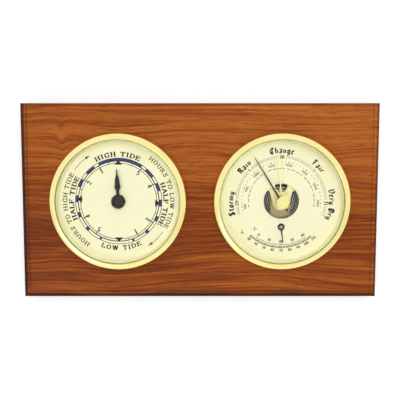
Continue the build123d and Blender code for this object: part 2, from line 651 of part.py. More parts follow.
def battery_bay():
    """The cell with its nub to the right, the plain contact and the bent leaf at the other end."""
    right = BAY_HALF - CONTACT_THICKNESS - FIT
    cell = Cylinder(BATTERY_RADIUS, BATTERY_LENGTH)
    cell = Pos(right - BATTERY_NUB - BATTERY_LENGTH / 2, BATTERY_Y, BATTERY_Z) * (Rot(0, 90, 0) * cell)
    nub = Cylinder(BATTERY_NUB_RADIUS, 2 * BATTERY_NUB)
    cell += Pos(right - BATTERY_NUB, BATTERY_Y, BATTERY_Z) * (Rot(0, 90, 0) * nub)
    half = CONTACT_WIDTH / 2
    contact = block(BAY_HALF - CONTACT_THICKNESS, BAY_HALF, BATTERY_Y - half, BATTERY_Y + half,
                    BATTERY_Z - half, BATTERY_Z + half)
    end = right - BATTERY_NUB - BATTERY_LENGTH - FIT
    wall = -BAY_HALF
    fold = BATTERY_Y + half / 2
    leaf = plate([
        (wall, BATTERY_Y - half), (wall + CONTACT_THICKNESS, BATTERY_Y - half),
        (wall + CONTACT_THICKNESS, fold),
        (end - CONTACT_THICKNESS, BATTERY_Y), (end - CONTACT_THICKNESS, BATTERY_Y - half / 2),
        (end, BATTERY_Y - half / 2), (end, BATTERY_Y + CONTACT_THICKNESS / 2),
        (wall + CONTACT_THICKNESS, fold + 2 * CONTACT_THICKNESS), (wall, fold + 2 * CONTACT_THICKNESS)],
        BATTERY_Z - half, BATTERY_Z + half)
    return {"battery": cell, "battery_contact": contact, "battery_spring": leaf}


def movement_train():
    """The running train, from the rotor to the friction wheel, and the motion work for the hand."""
    centre_phase = 0.0
    level = TRAIN_BACK + CENTRE_WHEEL_LEVEL
    friction = gear(TRAIN_WHEEL_TEETH, TRAIN_MODULE, WHEEL_TOOTH, centre_phase, level,
                    level + WHEEL_THICKNESS)
    friction -= disc(CENTRE_ARBOR_RADIUS + RUNNING, 0, FACE)

    pinion_play = (PINION_LENGTH - WHEEL_THICKNESS) / 2
    x, y = INTERMEDIATE_AT
    phase = meshed(INTERMEDIATE_BEARING, TRAIN_WHEEL_TEETH, centre_phase, TRAIN_PINION_TEETH)
    intermediate = arbor(x, y)
    intermediate += gear(TRAIN_PINION_TEETH, TRAIN_MODULE, PINION_LEAF, phase, level - pinion_play,
                         level + WHEEL_THICKNESS + pinion_play, x, y)
    level = TRAIN_BACK + INTERMEDIATE_LEVEL
    intermediate += gear(TRAIN_WHEEL_TEETH, TRAIN_MODULE, WHEEL_TOOTH, phase, level,
                         level + WHEEL_THICKNESS, x, y)

    x, y = ROTOR_AT
    phase = meshed(ROTOR_BEARING, TRAIN_WHEEL_TEETH, phase, TRAIN_PINION_TEETH)
    rotor = arbor(x, y) + gear(TRAIN_PINION_TEETH, TRAIN_MODULE, PINION_LEAF, phase, level - pinion_play,
                               level + WHEEL_THICKNESS + pinion_play, x, y)
    rotor += disc(MAGNET_RADIUS, TRAIN_BACK + MAGNET_LEVEL, TRAIN_BACK + MAGNET_LEVEL + MAGNET_LENGTH, x, y)

    level = TRAIN_BACK + TRANSFER_LEVEL
    knob_back = MOVEMENT_BACK - SETTING_KNOB_GAP - SETTING_KNOB_HEIGHT
    centre = disc(KNOB_ARBOR_RADIUS, knob_back, TRAIN_BACK + CENTRE_WHEEL_LEVEL - FIT)
    centre += disc(CENTRE_ARBOR_RADIUS, MOVEMENT_BACK, HAND_BACK)
    centre += gear(CENTRE_PINION_TEETH, MOTION_MODULE, PINION_LEAF, TRANSFER_BEARING, level - pinion_play,
                   level + WHEEL_THICKNESS + pinion_play)
    knob = knurled(SETTING_KNOB_RADIUS, knob_back, MOVEMENT_BACK - SETTING_KNOB_GAP, SETTING_KNOB_GRIPS,
                   GRIP_GROOVE)
    knob -= disc(KNOB_ARBOR_RADIUS + SNUG, knob_back - CUT, FACE)

    x, y = TRANSFER_AT
    phase = meshed(TRANSFER_BEARING, CENTRE_PINION_TEETH, TRANSFER_BEARING, TRANSFER_WHEEL_TEETH)
    transfer = arbor(x, y) + gear(TRANSFER_WHEEL_TEETH, MOTION_MODULE, WHEEL_TOOTH, phase, level,
                                  level + WHEEL_THICKNESS, x, y)
    tide_level = TRAIN_BACK + TIDE_WHEEL_LEVEL
    transfer += gear(TRANSFER_PINION_TEETH, MOTION_MODULE, PINION_LEAF, phase, level + WHEEL_THICKNESS / 2,
                     tide_level + WHEEL_THICKNESS + pinion_play, x, y)
    phase = meshed(TRANSFER_BEARING + 180, TRANSFER_PINION_TEETH, phase, TIDE_WHEEL_TEETH)
    tide = gear(TIDE_WHEEL_TEETH, MOTION_MODULE, WHEEL_TOOTH, phase, tide_level,
                tide_level + WHEEL_THICKNESS)
    tide += disc(PIPE_RADIUS, tide_level, HAND_FRONT)
    tide -= disc(CENTRE_ARBOR_RADIUS + RUNNING, 0, FACE + BEZEL_HEIGHT)
    return {"centre_wheel": friction, "intermediate_wheel": intermediate, "rotor": rotor,
            "centre_arbor": centre, "setting_knob": knob, "transfer_wheel": transfer, "tide_wheel": tide}


def tide_hand():
    """The black hand on its hub disc, and the domed cap over the pipe."""
    hand = disc(HAND_HUB_RADIUS, HAND_BACK, HAND_FRONT)
    hand += needle(HAND_OUTLINE, HAND_BACK, HAND_FRONT, TIDE_HAND_ANGLE)
    hand -= disc(PIPE_RADIUS + SNUG, HAND_BACK - CUT, HAND_FRONT + CUT)
    cap = disc(HAND_CAP_RADIUS, HAND_FRONT, HAND_FRONT + HAND_CAP_HEIGHT)
    cap = fillet(cap.edges().sort_by(Axis.Z)[-1], HAND_CAP_HEIGHT / 2)
    return {"tide_hand": hand, "hand_cap": cap}


def barometer_shell():
    """The barometer's drum, dial, lens and bezel."""
    case = case_cup() - disc(ADJUSTER_HOLE, 0, CASE_BACK + CUT)
    for x, y in base_screw_places():
        case -= disc(BRIDGE_SCREW_SHANK + RUNNING, 0, CASE_BACK + CUT, x, y)
    dial = ring(DIAL_RADIUS, APERTURE_RADIUS, DIAL_BACK, DIAL_FRONT)
    dial -= disc(THERMOMETER_ARBOR + RUNNING, 0, FACE, 0, -THERMOMETER_DROP)
    lens = ring(LENS_RADIUS, SET_ARBOR_RADIUS + RUNNING, LENS_BACK, LENS_FRONT)
    return {"barometer_case": case, "barometer_grip_ring": grip_ring(), "barometer_dial": dial,
            "barometer_reflector_ring": reflector(), "barometer_lens": lens, "barometer_bezel": bezel()}


def base_screw_places():
    """The screws that hold the aneroid base to the drum, spaced evenly about its centre."""
    return [polar(BASE_SCREW_RADIUS, 90 + i * 360 / BASE_SCREW_COUNT) for i in range(BASE_SCREW_COUNT)]


def capsule():
    """The vacuum capsule, with round waves pressed into its front."""
    inner = CAPSULE_BOSS_RADIUS
    outer = CAPSULE_RADIUS - CAPSULE_RIM
    step = (outer - inner) / (2 * CAPSULE_WAVES)
    edges = [Polyline((0, ANEROID_BASE_TOP), (CAPSULE_STUD_RADIUS, ANEROID_BASE_TOP),
                      (CAPSULE_STUD_RADIUS, CAPSULE_BACK), (CAPSULE_RADIUS, CAPSULE_BACK),
                      (CAPSULE_RADIUS, CAPSULE_FRONT), (outer, CAPSULE_FRONT))]
    for i in range(2 * CAPSULE_WAVES):
        here = outer - i * step
        height = CAPSULE_FRONT + (CAPSULE_WAVE if i % 2 else -CAPSULE_WAVE)
        edges.append(ThreePointArc((here, CAPSULE_FRONT), (here - step / 2, height),
                                   (here - step, CAPSULE_FRONT)))
    edges.append(Polyline((inner, CAPSULE_FRONT), (inner, SPRING_BACK_FACE), (0, SPRING_BACK_FACE),
                          (0, ANEROID_BASE_TOP)))
    return revolve(make_face([Plane.XZ * edge for edge in edges]), Axis.Z, 360)


def main_spring():
    """The C-shaped leaf: a foot on the base, a round back and a top leaf that narrows to its tip."""
    low = ANEROID_BASE_TOP
    high = SPRING_FRONT_FACE
    middle = (low + high) / 2
    bend = -CAPSULE_RADIUS - SPRING_BACK
    foot = bend + SPRING_FOOT
    edges = [
        Line((foot, low), (bend, low)),
        ThreePointArc((bend, low), (bend - (high - low) / 2, middle), (bend, high)),
        Polyline((bend, high), (SPRING_REACH, high), (SPRING_REACH, high - SPRING_THICKNESS),
                 (bend, high - SPRING_THICKNESS)),
        ThreePointArc((bend, high - SPRING_THICKNESS), (bend - (high - low) / 2 + SPRING_THICKNESS, middle),
                      (bend, low + SPRING_THICKNESS)),
        Polyline((bend, low + SPRING_THICKNESS), (foot, low + SPRING_THICKNESS), (foot, low)),
    ]
    side = make_face([Plane.YZ * edge for edge in edges])
    leaf = extrude(side, amount=SPRING_WIDTH / 2, both=True, dir=(1, 0, 0))
    waist = SPRING_REACH - SPRING_TAPER
    end = SPRING_REACH + CUT
    for hand in (-1, 1):
        tip = hand * SPRING_TIP / 2
        corner = [(tip, SPRING_REACH), (hand * SPRING_WIDTH / 2, waist), (hand * SPRING_WIDTH, waist),
                  (hand * SPRING_WIDTH, end), (tip, end)]
        leaf -= plate(corner, CAPSULE_FRONT, FACE)
    return leaf - disc(LINK_RADIUS + LINK_CLEARANCE, CAPSULE_FRONT, FACE, 0, ROCKER_Y - LINK_ARM)


def bridge(back, front):
    """One forked bridge plate: a round tongue, two arms and their pads, with a round notch at the top."""
    half = [(TONGUE_RADIUS, TONGUE_CENTRE), (SHOULDER_X, SHOULDER_Y),
            (PILLAR_X + PAD_LEAN_X, PILLAR_Y - PAD_LEAN_Y),
            (PILLAR_X - PAD_LEAN_X, PILLAR_Y + PAD_LEAN_Y), (ARM_TOP_X, ARM_TOP_Y)]
    points = half + [(-x, y) for x, y in reversed(half)]
    body = plate(points, back, front) + disc(TONGUE_RADIUS, back, front, 0, TONGUE_CENTRE)
    for x in (-PILLAR_X, PILLAR_X):
        body += disc(PAD_RADIUS, back, front, x, PILLAR_Y)
        body -= disc(BRIDGE_SCREW_SHANK + RUNNING, back - CUT, front + CUT, x, PILLAR_Y)
    body -= disc(NOTCH_RADIUS, back - CUT, front + CUT, 0, NOTCH_Y)
    body -= block(-NOTCH_RADIUS, NOTCH_RADIUS, NOTCH_Y, PILLAR_Y + PAD_RADIUS, back - CUT, front + CUT)
    return body - disc(PIVOT_RADIUS + RUNNING, back - CUT, front + CUT, SECTOR_X, ROCKER_Y)


def aneroid_frame():
    """The base, capsule, main spring, two bridges and what holds them together."""
    base = disc(ANEROID_BASE_RADIUS, CASE_BACK, ANEROID_BASE_TOP) - disc(ADJUSTER_RADIUS + RUNNING, 0, FACE)
    for x, y in base_screw_places():
        base -= disc(BRIDGE_SCREW_SHANK + SNUG, 0, FACE, x, y)
    base_screws = [pan_screw(x, y, CASE_BACK_GAP, CASE_WALL + ANEROID_BASE_THICKNESS, -1)
                   for x, y in base_screw_places()]
    sides = (-PILLAR_X, PILLAR_X)
    pillars = [disc(PILLAR_RADIUS, ANEROID_BASE_TOP, LOWER_BRIDGE_BACK, x, PILLAR_Y) for x in sides]
    bite = UPPER_BRIDGE_BACK - LOWER_BRIDGE_BACK + BRIDGE_SCREW_BITE
    hole = BRIDGE_SCREW_SHANK + SNUG
    pillars = [pillar - disc(hole, LOWER_BRIDGE_BACK - BRIDGE_SCREW_BITE - FIT, FACE, x, PILLAR_Y)
               for pillar, x in zip(pillars, sides)]
    spacers = [ring(PILLAR_RADIUS, hole, LOWER_BRIDGE_FRONT, UPPER_BRIDGE_BACK, x, PILLAR_Y) for x in sides]
    screws = [pan_screw(x, PILLAR_Y, UPPER_BRIDGE_FRONT, bite + BRIDGE_THICKNESS, 1) for x in sides]
    lower = bridge(LOWER_BRIDGE_BACK, LOWER_BRIDGE_FRONT)
    lug = ROCKER_LUG_WIDTH / 2
    depth = ROCKER_LUG_DEPTH / 2
    for x in (-ROCKER_LUG_X, ROCKER_LUG_X):
        lower += block(x - lug, x + lug, ROCKER_Y - depth, ROCKER_Y + depth, ROCKER_Z - depth / 2,
                       LOWER_BRIDGE_FRONT)
    bore = Rot(0, 90, 0) * Cylinder(ROCKER_RADIUS + RUNNING, 4 * ROCKER_LUG_X)
    lower -= Pos(0, ROCKER_Y, ROCKER_Z) * bore
    lower -= disc(PIVOT_RADIUS + RUNNING, 0, FACE)
    slot = ROCKER_PIN_RADIUS + 2 * SECTOR_LIFT
    lower -= block(SECTOR_X - SECTOR_TAIL - slot / 2, SECTOR_X - SECTOR_TAIL + slot / 2, ROCKER_Y - slot,
                   ROCKER_Y + slot, LOWER_BRIDGE_BACK - CUT, LOWER_BRIDGE_FRONT + CUT)
    upper = bridge(UPPER_BRIDGE_BACK, UPPER_BRIDGE_FRONT)
    upper -= disc(POINTER_ARBOR_RADIUS + RUNNING, 0, FACE)
    return {"aneroid_base": base, "base_screws": base_screws, "aneroid_capsule": capsule(),
            "main_spring": main_spring(), "bridge_pillars": pillars, "bridge_spacers": spacers,
            "bridge_screws": screws, "lower_bridge": lower, "upper_bridge": upper}


def sector_gear(pinion_phase):
    """The toothed sector with its pivots and the forked tail that the rocking shaft's pin moves."""
    bearing = math.degrees(math.atan2(-ROCKER_Y, -SECTOR_X))
    first = meshed(bearing + 180, POINTER_PINION_TEETH, pinion_phase, SECTOR_TEETH)
    step = 360 / SECTOR_TEETH
    pitch_radius = SECTOR_TEETH * SECTOR_MODULE / 2
    low = (bearing + SECTOR_FIRST_TOOTH * step, bearing + SECTOR_LAST_TOOTH * step)
    start = first + math.floor((bearing - first) / step) * step
    points = [polar(SECTOR_HUB, low[0] - 90)]
    for i in range(SECTOR_FIRST_TOOTH, SECTOR_LAST_TOOTH + 1):
        points += tooth_points(pitch_radius, SECTOR_MODULE, start + i * step, step, WHEEL_TOOTH)
    points.append(polar(SECTOR_HUB, low[1] + 90))
    body = plate(points, SECTOR_BACK, SECTOR_FRONT) + disc(SECTOR_HUB, SECTOR_BACK, SECTOR_FRONT)
    half = SECTOR_TAIL_WIDTH / 2
    slot = ROCKER_PIN_RADIUS + ROCKER_PIN_PLAY
    tail_end = -SECTOR_TAIL - SECTOR_TAIL_END
    body += block(tail_end, 0, -half, half, SECTOR_BACK, SECTOR_FRONT)
    body -= block(tail_end - CUT, -SECTOR_TAIL + slot + RUNNING, -slot, slot,
                  SECTOR_BACK - CUT, SECTOR_FRONT + CUT)
    body += disc(PIVOT_RADIUS, LOWER_BRIDGE_BACK, UPPER_BRIDGE_FRONT)
    return Pos(SECTOR_X, ROCKER_Y, 0) * body


def aneroid_motion():
    """The link, rocking shaft, sector, pointer arbor, hairspring and adjusting screw."""
    link_y = ROCKER_Y - LINK_ARM
    link_back = SPRING_BACK_FACE - LINK_BELOW
    link = disc(LINK_RADIUS, link_back, link_back + LINK_LENGTH, 0, link_y)
    shaft = Rot(0, 90, 0) * Cylinder(ROCKER_RADIUS, 2 * ROCKER_HALF_LENGTH)
    shaft = Pos(0, ROCKER_Y, ROCKER_Z) * shaft
    arm = ROCKER_ARM_WIDTH / 2
    arm_back = link_back + LINK_LENGTH + LINK_TOP_GAP
    shaft += block(-arm, arm, link_y - LINK_RADIUS, ROCKER_Y, arm_back, arm_back + ROCKER_ARM_THICKNESS)
    shaft += disc(ROCKER_PIN_RADIUS, ROCKER_Z, SECTOR_FRONT + SECTOR_LIFT / 2, SECTOR_X - SECTOR_TAIL,
                  ROCKER_Y)
    phase = 0.0
    pinion = gear(POINTER_PINION_TEETH, SECTOR_MODULE, PINION_LEAF, phase, SECTOR_BACK - SECTOR_LIFT / 2,
                  SECTOR_FRONT + SECTOR_LIFT / 4)
    pin = pinion + disc(PIVOT_RADIUS, LOWER_BRIDGE_BACK, SECTOR_FRONT)
    pin += disc(POINTER_ARBOR_RADIUS, SECTOR_FRONT, POINTER_BACK + POINTER_HUB_HEIGHT)
    pin += disc(COLLET_RADIUS, HAIRSPRING_BACK, HAIRSPRING_BACK + HAIRSPRING_WIDTH)
    coil = spiral(HAIRSPRING_FIRST, HAIRSPRING_PITCH, HAIRSPRING_TURNS, HAIRSPRING_STRIP,
                  HAIRSPRING_BACK, HAIRSPRING_BACK + HAIRSPRING_WIDTH)
    end = HAIRSPRING_FIRST + HAIRSPRING_TURNS * HAIRSPRING_PITCH
    coil += block(end - HAIRSPRING_STRIP / 2, end + STUD_SIZE, -STUD_SIZE / 2, STUD_SIZE / 2,
                  HAIRSPRING_BACK, UPPER_BRIDGE_BACK)
    adjuster = disc(ADJUSTER_RADIUS, CASE_BACK_GAP - ADJUSTER_STANDOUT, ANEROID_BASE_TOP)
    adjuster -= block(-ADJUSTER_RADIUS, ADJUSTER_RADIUS, -DRIVER_SLOT / 2, DRIVER_SLOT / 2,
                      0, CASE_BACK_GAP)
    outline = ((-POINTER_TAIL, POINTER_ROOT), (0, POINTER_ROOT), (POINTER_LENGTH, POINTER_TIP))
    pointer = needle(outline, POINTER_BACK, POINTER_BACK + POINTER_THICKNESS, POINTER_ANGLE)
    pointer += disc(POINTER_HUB_RADIUS, POINTER_BACK, POINTER_BACK + POINTER_HUB_HEIGHT)
    pointer -= disc(POINTER_ARBOR_RADIUS + SNUG, DIAL_BACK, FACE + BEZEL_HEIGHT)
    return {"capsule_link": link, "rocking_shaft": shaft, "sector_gear": sector_gear(phase),
            "pointer_arbor": pin, "hairspring": coil, "adjusting_screw": adjuster,
            "pressure_pointer": pointer}


def set_hand():
    """The brass set hand, its knob in front of the lens and the spring between hand and lens."""
    foot = LENS_FRONT + SET_KNOB_GAP
    top = foot + SET_KNOB_HEIGHT
    head = top - SET_KNOB_HEAD
    knob = turned([(0, SET_HAND_BACK), (SET_ARBOR_RADIUS, SET_HAND_BACK), (SET_ARBOR_RADIUS, foot),
                   (SET_KNOB_FOOT, foot), (SET_KNOB_NECK, head), (0, head)])
    grip = knurled(SET_KNOB_RADIUS, head, top, SET_KNOB_GRIPS, GRIP_GROOVE)
    dome = turned([(0, 0), (SET_KNOB_RADIUS + CUT, 0), (SET_KNOB_RADIUS + CUT, head),
                   (SET_KNOB_RADIUS, top - SET_KNOB_ROUND), (SET_KNOB_RADIUS - SET_KNOB_ROUND, top),
                   (0, top)])
    knob += grip & dome
    outline = ((0, SET_HAND_ROOT), (SET_HAND_LENGTH, SET_HAND_TIP))
    hand = needle(outline, SET_HAND_BACK, SET_HAND_FRONT, SET_HAND_ANGLE)
    hand += disc(SET_HAND_HUB, SET_HAND_BACK, SET_HAND_FRONT)
    hand -= disc(SET_ARBOR_RADIUS + SNUG, SET_HAND_BACK - CUT, SET_HAND_FRONT + CUT)
    inner = SET_ARBOR_RADIUS + FIT
    wall = SET_SPRING_HEIGHT / 4
    spring = turned([(inner, SET_HAND_FRONT), (inner + wall, SET_HAND_FRONT),
                     (SET_SPRING_RADIUS, LENS_BACK - FIT), (SET_SPRING_RADIUS - wall, LENS_BACK - FIT)])
    return {"set_hand_knob": knob, "set_hand": hand, "set_hand_spring": spring}


def thermometer():
    """The small pointer on its arbor, the bimetal coil that turns it and the bracket behind the dial."""
    y = -THERMOMETER_DROP
    half = BRACKET_WIDTH / 2
    leg = BRACKET_HALF_SPAN
    bracket = block(-leg, leg, y - half, y + half, BRACKET_BACK, BRACKET_BACK + BRACKET_THICKNESS)
    for side in (-1, 1):
        near, far = sorted((side * leg, side * (leg - BRACKET_THICKNESS)))
        bracket += block(near, far, y - half, y + half, BRACKET_BACK, DIAL_BACK)
        near, far = sorted((side * leg, side * (leg + BRACKET_TAB)))
        bracket += block(near, far, y - half, y + half, DIAL_BACK - BRACKET_THICKNESS, DIAL_BACK)
    bracket -= disc(THERMOMETER_ARBOR + RUNNING, 0, DIAL_BACK, 0, y)
    back = BRACKET_BACK + BRACKET_THICKNESS + BIMETAL_GAP
    coil = spiral(BIMETAL_FIRST, BIMETAL_PITCH, BIMETAL_TURNS, BIMETAL_STRIP, back, back + BIMETAL_WIDTH)
    end = BIMETAL_FIRST + BIMETAL_TURNS * BIMETAL_PITCH
    coil += block(end - BIMETAL_STRIP / 2, leg - BRACKET_THICKNESS, -BIMETAL_STRIP, 0,
                  back, back + BIMETAL_WIDTH)
    cap_front = THERMOMETER_BACK + THERMOMETER_CAP_HEIGHT
    rod = disc(THERMOMETER_ARBOR, BRACKET_BACK, cap_front, 0, y)
    rod += disc(BIMETAL_FIRST - BIMETAL_STRIP / 2 - FIT, back, back + BIMETAL_WIDTH, 0, y)
    rod += disc(THERMOMETER_CAP, THERMOMETER_BACK - THERMOMETER_LIFT / 2, cap_front, 0, y)
    outline = ((THERMOMETER_CAP + FIT, THERMOMETER_ROOT), (THERMOMETER_WAIST, THERMOMETER_ROOT / 2),
               (THERMOMETER_LENGTH, THERMOMETER_TIP))
    front = THERMOMETER_BACK + THERMOMETER_THICKNESS
    pointer = needle(outline, THERMOMETER_BACK, front, THERMOMETER_ANGLE)
    pointer += disc(THERMOMETER_RING, THERMOMETER_BACK, front)
    pointer -= disc(THERMOMETER_CAP + SNUG, DIAL_FRONT, FACE)
    return {"thermometer_bracket": bracket, "bimetal_coil": Pos(0, y, 0) * coil, "thermometer_arbor": rod,
            "thermometer_pointer": Pos(0, y, 0) * pointer}


def write_nodes(pieces, x):
    """Stands the pieces up at their place along the plaque and writes one file for each node."""
    for name, shape in pieces.items():
        solids = shape if isinstance(shape, list) else [shape]
        placed = [Rot(90, 0, 0) * (Pos(x, 0, 0) * solid) for solid in solids]
        export_step(placed[0] if len(placed) == 1 else Compound(placed), f"parts/{name}.step")


def main():
    """Builds the plaque, then the tide clock on the left and the barometer on the right."""
    os.makedirs("parts", exist_ok=True)
    write_nodes({"oak_board": oak_board(), **hanger()}, 0)
    clock = (tide_shell, movement_housing, movement_front, movement_drive, battery_bay, movement_train,
             tide_hand)
    barometer = (barometer_shell, aneroid_frame, aneroid_motion, set_hand, thermometer)
    for x, sections in ((-INSTRUMENT_SPACING / 2, clock), (INSTRUMENT_SPACING / 2, barometer)):
        for section in sections:
            write_nodes(section(), x)
    print("hairspring gap between turns", round(HAIRSPRING_PITCH - HAIRSPRING_STRIP, 3))
    print("bimetal gap between turns", round(BIMETAL_PITCH - BIMETAL_STRIP, 3))


main()
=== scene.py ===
"""Looks of an oak wall plaque that carries a tide clock and a barometer with a thermometer.

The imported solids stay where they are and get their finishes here. The dial printing is added as thin
plates of ink on the two dials. Lengths are in metres, dial drawings are in millimetres from the dial's
centre with x to the right and y up, and dial angles are in degrees clockwise from the top.
"""
import json
import math

import bpy
import numpy as np
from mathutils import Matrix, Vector


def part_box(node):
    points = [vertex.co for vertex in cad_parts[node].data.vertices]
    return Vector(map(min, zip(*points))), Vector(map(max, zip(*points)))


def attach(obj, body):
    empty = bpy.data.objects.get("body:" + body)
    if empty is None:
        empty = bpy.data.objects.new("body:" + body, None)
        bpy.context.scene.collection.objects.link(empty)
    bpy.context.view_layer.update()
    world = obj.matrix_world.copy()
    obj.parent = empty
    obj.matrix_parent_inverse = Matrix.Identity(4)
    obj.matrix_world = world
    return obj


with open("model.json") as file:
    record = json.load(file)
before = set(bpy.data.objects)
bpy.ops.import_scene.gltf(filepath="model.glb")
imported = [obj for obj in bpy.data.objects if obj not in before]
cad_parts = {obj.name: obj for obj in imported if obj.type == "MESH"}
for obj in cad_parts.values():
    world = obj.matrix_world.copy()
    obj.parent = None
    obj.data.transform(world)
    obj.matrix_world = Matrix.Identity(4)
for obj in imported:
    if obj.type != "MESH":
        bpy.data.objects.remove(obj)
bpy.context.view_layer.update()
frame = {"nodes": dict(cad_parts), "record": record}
nodes = frame["nodes"]

MM = 0.001
INK_GAP = 0.000012
INK_THICKNESS = 0.00004
BEZEL_BAND = 0.0059
CAPSULE_WAVE = 0.00155
COIL_WIRE = 0.00025


def middle(node):
    """The centre of a node's box."""
    low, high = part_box(node)
    return (low + high) / 2


TIDE_X = middle("tide_bezel").x
BAROMETER_X = middle("barometer_bezel").x
DIAL_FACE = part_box("tide_dial")[0].y
BEZEL_RADIUS = (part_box("tide_bezel")[1].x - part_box("tide_bezel")[0].x) / 2
BOARD_HALF_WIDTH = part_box("oak_board")[1].x
BOARD_HALF_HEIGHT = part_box("oak_board")[1].z


# Ink strokes
# A stroke is a path with a half width at each point. A pen has a broad nib: the half width is the half
# length of the nib seen across the direction of travel, so a stroke is thick across the nib and thin along
# it.

class Pen:
    """A broad nib: its width, thin edge and serif length in cap heights, and its angle in degrees."""

    def __init__(self, broad, thin, angle, serif):
        self.broad, self.thin, self.angle, self.serif = broad, thin, math.radians(angle), serif

    def edges(self, points):
        """The two sides of a stroke: the path moved to either side along its normal by the half width."""
        run = np.gradient(points, axis=0)
        heading = np.arctan2(run[:, 1], run[:, 0])
        turned = heading - self.angle
        half = 0.5 * np.hypot(self.broad * np.sin(turned), self.thin * np.cos(turned))
        normal = np.stack([-np.sin(heading), np.cos(heading)], 1) * half[:, None]
        return points + normal, points - normal


CURVE_STEPS = 7
OVAL_POINTS = 25
LINE_POINTS = 3


def curve(points):
    """A smooth path through the points: a cubic between each pair with slopes from the neighbours."""
    p = np.array(points, float)
    p = np.vstack([2 * p[0] - p[1], p, 2 * p[-1] - p[-2]])
    t = np.linspace(0, 1, CURVE_STEPS, endpoint=False)[None, :, None]
    a, b, c, d = (p[i:len(p) - 3 + i][:, None, :] for i in range(4))
    slope, bend, twist = c - a, 2 * a - 5 * b + 4 * c - d, 3 * b - a - 3 * c + d
    path = 0.5 * (2 * b + slope * t + bend * t ** 2 + twist * t ** 3)
    return np.vstack([path.reshape(-1, 2), p[-2:-1]])


def oval(x, y, rx, ry):
    """A closed oval path."""
    t = np.linspace(0, 2 * np.pi, OVAL_POINTS)
    return np.stack([x + rx * np.cos(t), y + ry * np.sin(t)], 1)


def bar(start, end):
    """A straight path."""
    return np.linspace(start, end, LINE_POINTS)


def glyph(width, stems=(), bars=(), curves=(), ovals=()):
    """One letter in cap heights: its width, stems at an x, straight bars, curves and ovals."""
    return width, stems, bars, curves, ovals


ROMAN = {
    "A": glyph(1, bars=[(.08, 0, .5, 1), (.5, 1, .92, 0), (.25, .36, .76, .36), (-.04, .02, .22, .02),
               (.76, .02, 1.06, .02)]),
    "C": glyph(.94, bars=[(.82, .72, .82, 1)], curves=[[(.82, .78), (.52, .98), (.2, .78), (.14, .42),
               (.3, .1), (.56, .02), (.86, .2)]]),
    "D": glyph(.98, stems=[.16], curves=[[(.16, .97), (.5, .97), (.86, .72), (.86, .28), (.5, .03),
               (.16, .03)]]),
    "E": glyph(.86, stems=[.16], bars=[(.16, .97, .76, .97), (.76, 1, .76, .76), (.16, .52, .56, .52),
               (.56, .4, .56, .64), (.16, .03, .8, .03), (.8, 0, .8, .25)]),
    "F": glyph(.82, stems=[.16], bars=[(.16, .97, .76, .97), (.76, 1, .76, .76), (.16, .52, .56, .52),
               (.56, .4, .56, .64)]),
    "G": glyph(1, bars=[(.84, 0, .84, .42), (.68, .42, 1, .42), (.82, .72, .82, 1)],
               curves=[[(.82, .76), (.52, .98), (.2, .78), (.14, .42), (.3, .1), (.58, .02),
               (.84, .16)]]),
    "H": glyph(1.04, stems=[.18, .86], bars=[(.18, .52, .86, .52)]),
    "I": glyph(.46, stems=[.23]),
    "L": glyph(.84, stems=[.18], bars=[(.18, .03, .76, .03), (.76, 0, .76, .28)]),
    "O": glyph(1.02, ovals=[(.51, .5, .39, .48)]),
    "R": glyph(1, stems=[.18], bars=[(.5, .5, .9, .02), (.84, .02, 1.02, .02)], curves=[[(.18, .97),
               (.52, .96), (.74, .75), (.54, .53), (.18, .5)]]),
    "S": glyph(.8, bars=[(.66, .7, .66, 1), (.13, 0, .13, .3)], curves=[[(.66, .8), (.42, .98),
               (.16, .78), (.36, .56), (.62, .36), (.58, .1), (.36, .02), (.13, .22)]]),
    "T": glyph(.9, stems=[.45], bars=[(.06, .97, .84, .97), (.06, 1, .06, .74), (.84, 1, .84, .74)]),
    "U": glyph(1, bars=[(.02, .98, .34, .98), (.68, .98, .98, .98)], curves=[[(.18, 1), (.18, .6),
               (.2, .22), (.5, .02), (.8, .22), (.83, .6), (.83, 1)]]),
    "W": glyph(1.36, bars=[(.14, 1, .42, 0), (.42, 0, .68, .94), (.68, .94, .98, 0), (.98, 0, 1.22, 1),
               (0, .98, .3, .98), (.54, .98, .82, .98), (1.08, .98, 1.36, .98)]),
    "0": glyph(.66, ovals=[(.33, .5, .24, .48)]),
    "1": glyph(.5, stems=[.27], bars=[(.08, .8, .27, .98)]),
    "2": glyph(.66, bars=[(.08, .05, .6, .05), (.6, 0, .6, .2)], curves=[[(.1, .72), (.3, .98),
               (.54, .76), (.4, .45), (.1, .06)]]),
    "3": glyph(.64, curves=[[(.1, .82), (.32, .98), (.5, .77), (.26, .53)], [(.26, .53), (.55, .36),
               (.5, .1), (.3, .02), (.08, .16)]]),
    "4": glyph(.68, bars=[(.46, 0, .46, 1), (.46, 1, .05, .3), (.05, .3, .64, .3)]),
    "5": glyph(.64, bars=[(.54, .96, .16, .96), (.16, .98, .14, .56)], curves=[[(.14, .56), (.36, .62),
               (.55, .34), (.36, .03), (.07, .12)]]),
    "6": glyph(.66, curves=[[(.52, .96), (.24, .78), (.1, .34), (.33, .02), (.56, .3), (.34, .56),
               (.12, .34)]]),
    "7": glyph(.62, bars=[(.06, .96, .58, .96), (.06, 1, .06, .8), (.58, .96, .24, 0)]),
    "8": glyph(.66, ovals=[(.33, .76, .19, .22), (.33, .27, .24, .25)]),
    "9": glyph(.66, curves=[[(.14, .04), (.42, .22), (.56, .66), (.33, .98), (.1, .7), (.32, .44),
               (.54, .66)]]),
    " ": glyph(.5),
}

